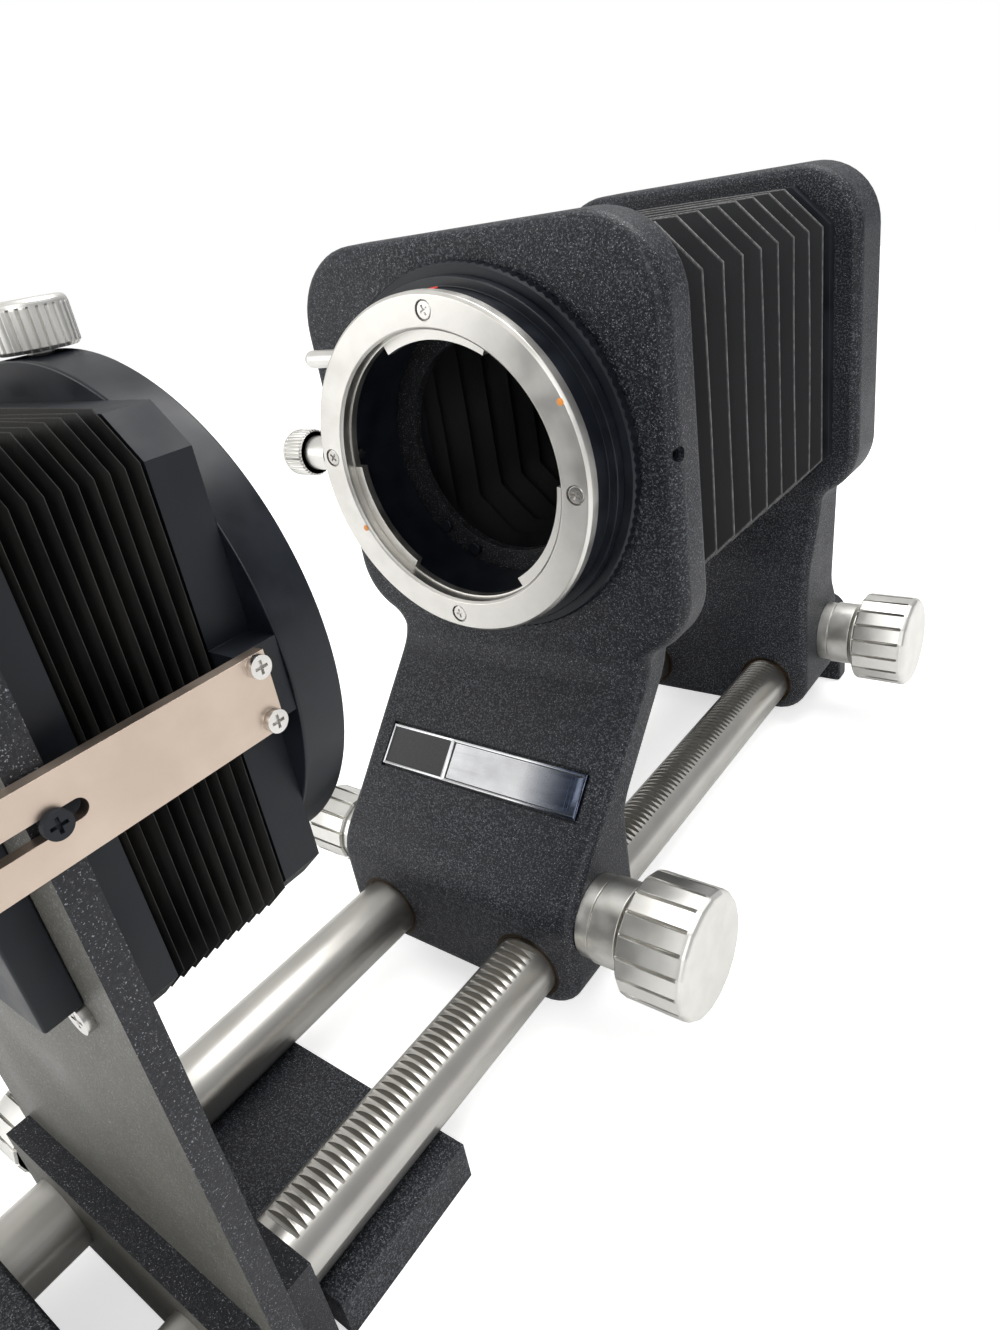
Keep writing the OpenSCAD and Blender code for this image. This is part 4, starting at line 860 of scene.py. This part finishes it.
# ---- Mount controls ----
# A thumb screw with a knurled head and a sprung release button stand on the left of the
# collar. Both are turned and bright.
HEAD_R, HEAD_L, BARREL_R, BARREL_L = 4.7 * MM, 6.2 * MM, 3.4 * MM, 5.5 * MM
THUMB_SHANK_R, THUMB_KNURLS, THUMB_GROOVE, THUMB_RIM = 1.2 * MM, 36, 0.3 * MM, 0.6
THUMB_SHOULDER, THUMB_DISH, SMALL_GROOVE_W = 1.6 * MM, 0.1 * MM, 2.6
low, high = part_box("lens_mount_lock_knob")
thumb_metal = turned_metal("thumb_metal", "X", thumb_at, ALU_DARK, ALU_LIGHT, 0.34, 0.42)
shank_l = high.x - low.x - HEAD_L - BARREL_L
bm = fluted_grip((low.x + HEAD_L, thumb_at.y, thumb_at.z), (-1, 0, 0), HEAD_L, HEAD_R, THUMB_KNURLS,
                 THUMB_GROOVE, [(shank_l, THUMB_SHANK_R), (BARREL_L, BARREL_R)], THUMB_SHOULDER,
                 THUMB_DISH, SMALL_GROOVE_W, THUMB_RIM)
place(bm, "lens_thumb_screw", thumb_metal, "satin_aluminium", "lens_lock", "lens_mount_lock_knob")

PIN_R = 1.7 * MM
low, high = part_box("lens_release_button")
nose = [(low.x + PIN_R - d, r) for d, r in arc(0, 0, PIN_R, 90, 0, 8)]
bm = turn([(high.x, 0), (high.x, PIN_R)] + nose, release_at, "X", 32)
place(bm, "lens_release_pin", thumb_metal, "satin_chrome", "lens_release", "lens_release_button")

# ---- Inside of the throat ----
# A rough black ring in the plate's bore keeps stray light down. It is painted metal, and two
# small black screws at its lower left hold it.
throat_black = wrinkle_paint("throat_black", (0.006, 0.0065, 0.008), (0.022, 0.022, 0.024))
rounded("light_baffle", 0.2 * MM, throat_black, "black_satin", "front_standard")
rounded("baffle_screws", 0.2 * MM, knurl_black, "black_satin", "front_standard")

# ---- Bellows frames ----
# A flat frame with cut corners clamps each end of the folding cloth to its plate. The frames
# are black metal, and small screws under the cloth hold them.
frame_black = satin_black("frame_black", rough=(0.45, 0.6))
rounded("front_bellows_frame", 0.4 * MM, frame_black, "black_satin", "front_standard")
rounded("rear_bellows_frame", 0.4 * MM, frame_black, "black_satin", "rear_standard")
for node in ("bellows_frame_screws_front", "bellows_frame_screws_rear"):
    dress(node, plain_steel)

# ---- Main bellows ----
# A folded square tube of black coated cloth over thin card. Its corners are cut off, and its
# ridges are rubbed to a thin pale line. It is made in two halves that meet in a fold.
FOLD = [(0.0, 1.0), (0.25, 0.51), (0.44, 0.09), (0.46, 0.045), (0.475, 0.014), (0.488, 0.003), (0.5, 0.0),
        (0.512, 0.003), (0.525, 0.014), (0.54, 0.045), (0.56, 0.09), (0.75, 0.51)]
CLOTH_T, SIDE_CUTS, SWAY, RUBBED_SHARE = 0.5 * MM, 6, 0.22 * MM, 0.03
SWAY_PER_FOLD, SWAY_PER_SIDE = 2.1, 1.7


def folding_cloth(name, dark, light, rubbed_to):
    """Coated cloth, nearly black and a little dusty, with its ridges rubbed pale."""
    material, tree, shader = finish(name, 0.0, Specular_IOR_Level=0.3)
    rub = add(tree, "Attribute", {"attribute_name": "rubbed"}).outputs["Fac"]
    dust = speckle(tree, spot(tree, (1, 2, 0.5)), 90.0, 4)
    weave = speckle(tree, spot(tree, (2200, 2200, 700)), 1.0, 3)
    patchy = times(tree, rub, levels(tree, weave, 0.4, 1.0))
    connect(shader,
            Base_Color=blend_to(tree, patchy, clouded(tree, dust, dark, light), rubbed_to),
            Roughness=levels(tree, dust, 0.5, 0.7),
            Normal=relief(tree, weave, 0.06 * MM, 0.5))
    return material


def folded_tube(y0, y1, folds, half, cut_off, depth):
    """Closed skin of folds: a square ring with cut corners that steps in and out from y0 to y1."""
    pitch = (y1 - y0) / folds
    rows = [(i + t, share) for i in range(folds) for t, share in FOLD] + [(folds, 1.0)]
    skin = [(y0 + pitch * t, depth * share) for t, share in rows]
    skin += [(y, sunk + CLOTH_T) for y, sunk in reversed(skin)] + skin[:1]

    def seat(k, y, sunk):
        """Place number k on the ring at y, sunk by that much."""
        r, c = half - sunk, cut_off
        ends = [(r - c, r), (r, r - c), (r, c - r), (r - c, -r)]
        ends += [(-x, -z) for x, z in ends]
        side, step = divmod(k, SIDE_CUTS + 2)
        (ax, az), (bx, bz) = ends[2 * side + 1], ends[(2 * side + 2) % 8]
        share = step / (SIDE_CUTS + 1)
        bulge = SWAY * sin(pi * share) * sin(y / pitch * SWAY_PER_FOLD + side * SWAY_PER_SIDE)
        nx, nz = ((1, 0), (0, -1), (-1, 0), (0, 1))[side]
        x, z = ax + (bx - ax) * share + nx * bulge, az + (bz - az) * share + nz * bulge
        return Vector((x, y, AXIS_Z + z))

    bm = bmesh.new()
    number = bm.verts.layers.int.new("number")
    rubbed = bm.verts.layers.float.new("rubbed")
    count = 4 * (SIDE_CUTS + 2)
    for k in range(count):
        bm.verts.new(seat(k, *skin[0]))[number] = k
    bm.verts.ensure_lookup_table()
    ring = [bm.edges.new((bm.verts[k], bm.verts[(k + 1) % count])) for k in range(count)]
    for y, sunk in skin[1:]:
        new = bmesh.ops.extrude_edge_only(bm, edges=ring)["geom"]
        ring = [g for g in new if isinstance(g, bmesh.types.BMEdge)]
        for v in new:
            if isinstance(v, bmesh.types.BMVert):
                v.co = seat(v[number], y, sunk)
                v[rubbed] = max(0.0, 1 - sunk / (RUBBED_SHARE * depth))
        ring_verts = {v for e in ring for v in e.verts if abs(v.co.y - y) < 1e-7}
        ring = [e for e in ring if e.verts[0] in ring_verts and e.verts[1] in ring_verts
                and len(e.link_faces) == 1]
    return bm


CLOTH_DARK, CLOTH_LIGHT, CLOTH_RUBBED = (0.0045, 0.005, 0.0068), (0.0115, 0.012, 0.0135), (0.22, 0.22, 0.215)
FOLDS, FRONT_FOLDS = 9, 5
BELLOWS = (34.5 * MM, 8.5 * MM, 6.5 * MM)  # half width, cut corner and depth of the folds
cloth = folding_cloth("bellows_cloth", CLOTH_DARK, CLOTH_LIGHT, CLOTH_RUBBED)
low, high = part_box("main_bellows")
split = low.y + (high.y - low.y) * FRONT_FOLDS / FOLDS
front_half = place(folded_tube(low.y, split, FRONT_FOLDS, *BELLOWS), "bellows_front_half", cloth,
                   "bellows_cloth", None, "main_bellows")
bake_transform(front_half)
rear_half = place(folded_tube(split, high.y, FOLDS - FRONT_FOLDS, *BELLOWS), "bellows_rear_half", cloth,
                  "bellows_cloth", None, "main_bellows")
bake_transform(rear_half)

# ---- Camera mount ----
# At the back of the rear standard a black seat holds a chrome bayonet ring that turns with its
# steel sleeve. Four screws join them, and a thumb screw on the left locks them.
SLEEVE_DARK, SLEEVE_LIGHT = (0.40, 0.39, 0.38), (0.55, 0.54, 0.52)
CAMERA_HEAD_L, CAMERA_SHANK_R = 6 * MM, 1.2 * MM
SMALL_FLUTES, SMALL_GROOVE, SMALL_SHOULDER, SMALL_DISH = 28, 0.35 * MM, 1.0 * MM, 0.4 * MM
rounded("camera_mount_seat", 0.4 * MM, frame_black, "black_satin", "rear_standard")
sleeve_steel = turned_metal("sleeve_steel", "Y", axis_point, SLEEVE_DARK, SLEEVE_LIGHT, 0.3, 0.42)
rounded("camera_mount_sleeve", 0.2 * MM, sleeve_steel, "rod_steel", "camera_mount")
rounded("camera_mount_ring", 0.25 * MM, ring_chrome, "satin_chrome", "camera_mount")
rounded("camera_mount_screws", 0.15 * MM, chrome, "satin_chrome", "camera_mount")


def small_grip(at, out, head_l, shank_l, shank_r):
    """Small knurled thumb screw that starts at a point under its head."""
    return fluted_grip(at, out, head_l, HEAD_R, SMALL_FLUTES, SMALL_GROOVE, [(shank_l, shank_r)],
                       SMALL_SHOULDER, SMALL_DISH, SMALL_GROOVE_W)


low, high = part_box("camera_mount_lock")
centre = middle("camera_mount_lock")
lock_metal = turned_aluminium("camera_lock_metal", "X", centre)
bm = small_grip((low.x + CAMERA_HEAD_L, centre.y, centre.z), (-1, 0, 0), CAMERA_HEAD_L,
                high.x - low.x - CAMERA_HEAD_L, CAMERA_SHANK_R)
place(bm, "camera_thumb_screw", lock_metal, "satin_aluminium", "camera_lock", "camera_mount_lock")

# ---- Slide copier's panel ----
# A thick panel stands on a foot of its own that slides on the rods. Its faces that turn to the
# front are given a paler greyish olive, a painted reflection of light. In front of its window is a
# channel for a mounted slide with an opal sheet, and behind it the small bellows' frame.
PANEL_DARK, PANEL_LIGHT = (0.011, 0.012, 0.015), (0.04, 0.042, 0.05)
# Paler tones for the faces that turn to the front: a painted reflection of light.
LIT_FRONT_DARK, LIT_FRONT_LIGHT = (0.085, 0.083, 0.072), (0.15, 0.147, 0.128)
LIT_FRONT_FACING = -0.95
panel_black = wrinkle_paint("panel_black", PANEL_DARK, PANEL_LIGHT)
panel = rounded("copier_carrier", 0.8 * MM, panel_black, "wrinkle_paint", "copier_stage", 3)
# Faces turned to the front get the paler paint: painted reflection of light on that side.
panel.data.materials.append(wrinkle_paint("panel_front_painted_sheen", LIT_FRONT_DARK, LIT_FRONT_LIGHT))
for face in panel.data.polygons:
    if face.normal.y < LIT_FRONT_FACING:
        face.material_index = 1
rounded("copier_panel_screws", 0.25 * MM, chrome, "satin_chrome", "copier_stage")
rounded("copier_gate", 0.35 * MM, frame_black, "black_satin", "copier_stage")
rounded("copier_front_frame", 0.5 * MM, frame_black, "black_satin", "copier_stage")


def opal_sheet():
    """Milky sheet that lets light through but no picture."""
    material, tree, shader = finish("opal_sheet", 0.0, Transmission_Weight=0.35)
    milk = flecks(tree, 400.0, 3)
    connect(shader,
            Base_Color=clouded(tree, milk, (0.78, 0.78, 0.76), (0.86, 0.86, 0.84)),
            Roughness=levels(tree, milk, 0.35, 0.5))
    return material


dress("copier_diffuser", opal_sheet())

# ---- Slide copier's bellows ----
# A smaller folded tube, dustier than the main one and hardly rubbed, joins the panel to the
# frame behind the round adapter ring. It is the same kind of cloth, glued to both.
SMALL_DARK, SMALL_LIGHT, SMALL_RUBBED = (0.009, 0.0092, 0.0098), (0.026, 0.025, 0.022), (0.05, 0.049, 0.045)
COPIER_FOLDS, COPIER_BELLOWS = 10, (30.5 * MM, 5 * MM, 3.2 * MM)
small_cloth = folding_cloth("small_bellows_cloth", SMALL_DARK, SMALL_LIGHT, SMALL_RUBBED)
low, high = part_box("copier_bellows")
small = place(folded_tube(low.y, high.y, COPIER_FOLDS, *COPIER_BELLOWS), "copier_bellows_folds", small_cloth,
              "bellows_cloth", None, "copier_bellows")
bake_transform(small)

# ---- Slide copier's adapter ----
# An octagonal frame carries the turned ring that slips over a lens. Bars with slots guide it
# on both sides of the panel, and a small knurled screw clamps the ring.
ADAPTER_R, ADAPTER_BORE, SOCKET_R, SOCKET_L = 34.5 * MM, 26 * MM, 31 * MM, 5 * MM
ADAPTER_HEAD_L, ADAPTER_SHANK_R, ADAPTER_HOLE_R = 5.5 * MM, 1.5 * MM, 1.55 * MM
BAR_DARK, BAR_LIGHT = (0.53, 0.43, 0.355), (0.64, 0.53, 0.445)
rounded("copier_adapter_frame", 0.8 * MM, frame_black, "black_satin", "copier_adapter", 3)
low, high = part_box("copier_adapter_ring")
adapter_black = turned_black("adapter_black")
profile = [(low.y, ADAPTER_BORE), (low.y, ADAPTER_R), (high.y, ADAPTER_R), (high.y, SOCKET_R),
           (high.y - SOCKET_L, SOCKET_R), (high.y - SOCKET_L, ADAPTER_BORE)]
bm = turn(profile, axis_point, "Y", 160)
soften(bm, 0.35 * MM, 3)
adapter = place(bm, "adapter_ring", adapter_black, "black_satin", "copier_adapter", "copier_adapter_ring",
                crease=30)
knob_low, knob_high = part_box("copier_adapter_knob")
knob_at = middle("copier_adapter_knob")
drill(adapter, ((0, knob_at.y, AXIS_Z + ADAPTER_BORE), (0, knob_at.y, knob_high.z), ADAPTER_HOLE_R))


def champagne_metal():
    """Pale warm anodised sheet, satin, with fine lines along it."""
    material, tree, shader = finish("champagne_metal", 1.0)
    lines = speckle(tree, spot(tree, (2600, 60, 2600)), 1.0, 3)
    cloud = flecks(tree, 110.0, 4)
    connect(shader,
            Base_Color=clouded(tree, cloud, BAR_DARK, BAR_LIGHT),
            Roughness=levels(tree, cloud, 0.34, 0.46),
            Normal=relief(tree, lines, 0.008 * MM, 0.4))
    return material


rounded("copier_side_bars", 0.25 * MM, champagne_metal(), "bar_metal", "copier_adapter")
rounded("copier_bar_screws", 0.2 * MM, chrome, "satin_chrome", "copier_adapter")
rounded("copier_bar_clamps", 0.2 * MM, frame_black, "black_satin", "copier_stage")
knob_metal = turned_aluminium("adapter_knob_metal", "Z", knob_at)
bm = small_grip((0, knob_at.y, knob_high.z - ADAPTER_HEAD_L), (0, 0, 1), ADAPTER_HEAD_L,
                knob_high.z - knob_low.z - ADAPTER_HEAD_L, ADAPTER_SHANK_R)
place(bm, "adapter_thumb_screw", knob_metal, "satin_aluminium", "copier_lens_lock", "copier_adapter_knob")

# ---- Floor and light ----
# A pale floor and a white surround. Soft light falls from above and from the left, with a
# weak lamp at the right of the camera.
FLOOR_HALF, FLOOR_DARK, FLOOR_LIGHT, FLOOR_GLOW = 1.5, (0.9, 0.9, 0.9), (0.92, 0.92, 0.92), 0.6
WHITE, SHADE_SIDE, LIGHT_SIDE = (1, 1, 1), (0.36, 0.365, 0.38), (0.82, 0.815, 0.80)
TOWARDS_LIGHT, SHADE_FROM, LIGHT_FROM = (-0.5, -0.25, 0.83), -0.3, 0.8
LAMPS = (("overhead", (0.1, 0.3, 0.8), 0.6, 4.5), ("left", (-0.45, -0.5, 0.3), 0.5, 1.3),
         ("right", (0.35, -0.5, 0.4), 0.4, 1.2))  # name, place, size and watts
LIT_POINT = Vector((0, 0.08, 0.07))


def pale_floor():
    """Matt white that glows only for the camera, so that the shadow stays."""
    material, tree, shader = finish("pale_floor", 0.0, Roughness=0.9, Specular_IOR_Level=0.1,
                                    Emission_Color=(*WHITE, 1))
    tint = flecks(tree, 4.0, 2)
    sees = add(tree, "LightPath").outputs["Is Camera Ray"]
    connect(shader,
            Base_Color=clouded(tree, tint, FLOOR_DARK, FLOOR_LIGHT),
            Emission_Strength=times(tree, sees, FLOOR_GLOW))
    return material


bm = bmesh.new()
bmesh.ops.create_grid(bm, x_segments=1, y_segments=1, size=FLOOR_HALF)
mesh = bpy.data.meshes.new("floor")
bm.to_mesh(mesh)
bm.free()
mesh.materials.append(pale_floor())
floor = bpy.data.objects.new("floor", mesh)
scene.collection.objects.link(floor)

world = bpy.data.worlds.new("surround")
scene.world = world
world.use_nodes = True
tree = world.node_tree
around = add(tree, "TexCoord").outputs["Generated"]
side_lit = add(tree, "VectorMath", {"operation": "DOT_PRODUCT"}, _0=around, _1=TOWARDS_LIGHT).outputs[1]
soft = blend_to(tree, levels(tree, side_lit, 0, 1, SHADE_FROM, LIGHT_FROM), SHADE_SIDE, LIGHT_SIDE)
sees = add(tree, "LightPath").outputs["Is Camera Ray"]
tree.links.new(blend_to(tree, sees, soft, WHITE), tree.nodes["Background"].inputs["Color"])

for name, at, size, power in LAMPS:
    light = bpy.data.lights.new(name, "AREA")
    light.shape, light.size, light.energy = "DISK", size, power
    stand = bpy.data.objects.new(name, light)
    stand.location = at
    stand.rotation_euler = (LIT_POINT - Vector(at)).to_track_quat("-Z", "Y").to_euler()
    scene.collection.objects.link(stand)

# ---- Camera ----
# It stands close to the copier, to the right of the rods, and looks down along the unit
# towards the rear standard. Its place and view were fitted to the photograph.
CAMERA_AT = Vector((0.108444, -0.0479, 0.145842))
AHEAD = Vector((-0.58433, 0.67537, -0.44992))
RIGHT, UP = Vector((0.79590, 0.58517, -0.15530)), Vector((-0.15840, 0.44884, 0.87946))
view = bpy.data.cameras.new("camera")
view.lens, view.sensor_width, view.sensor_fit = 24.408, 36, "AUTO"
view.clip_start = 5 * MM
camera = bpy.data.objects.new("camera", view)
turned = Matrix((RIGHT, UP, -AHEAD)).transposed().to_4x4()
camera.matrix_world = Matrix.Translation(CAMERA_AT) @ turned
scene.collection.objects.link(camera)
scene.camera = camera
scene.view_settings.view_transform = "Standard"
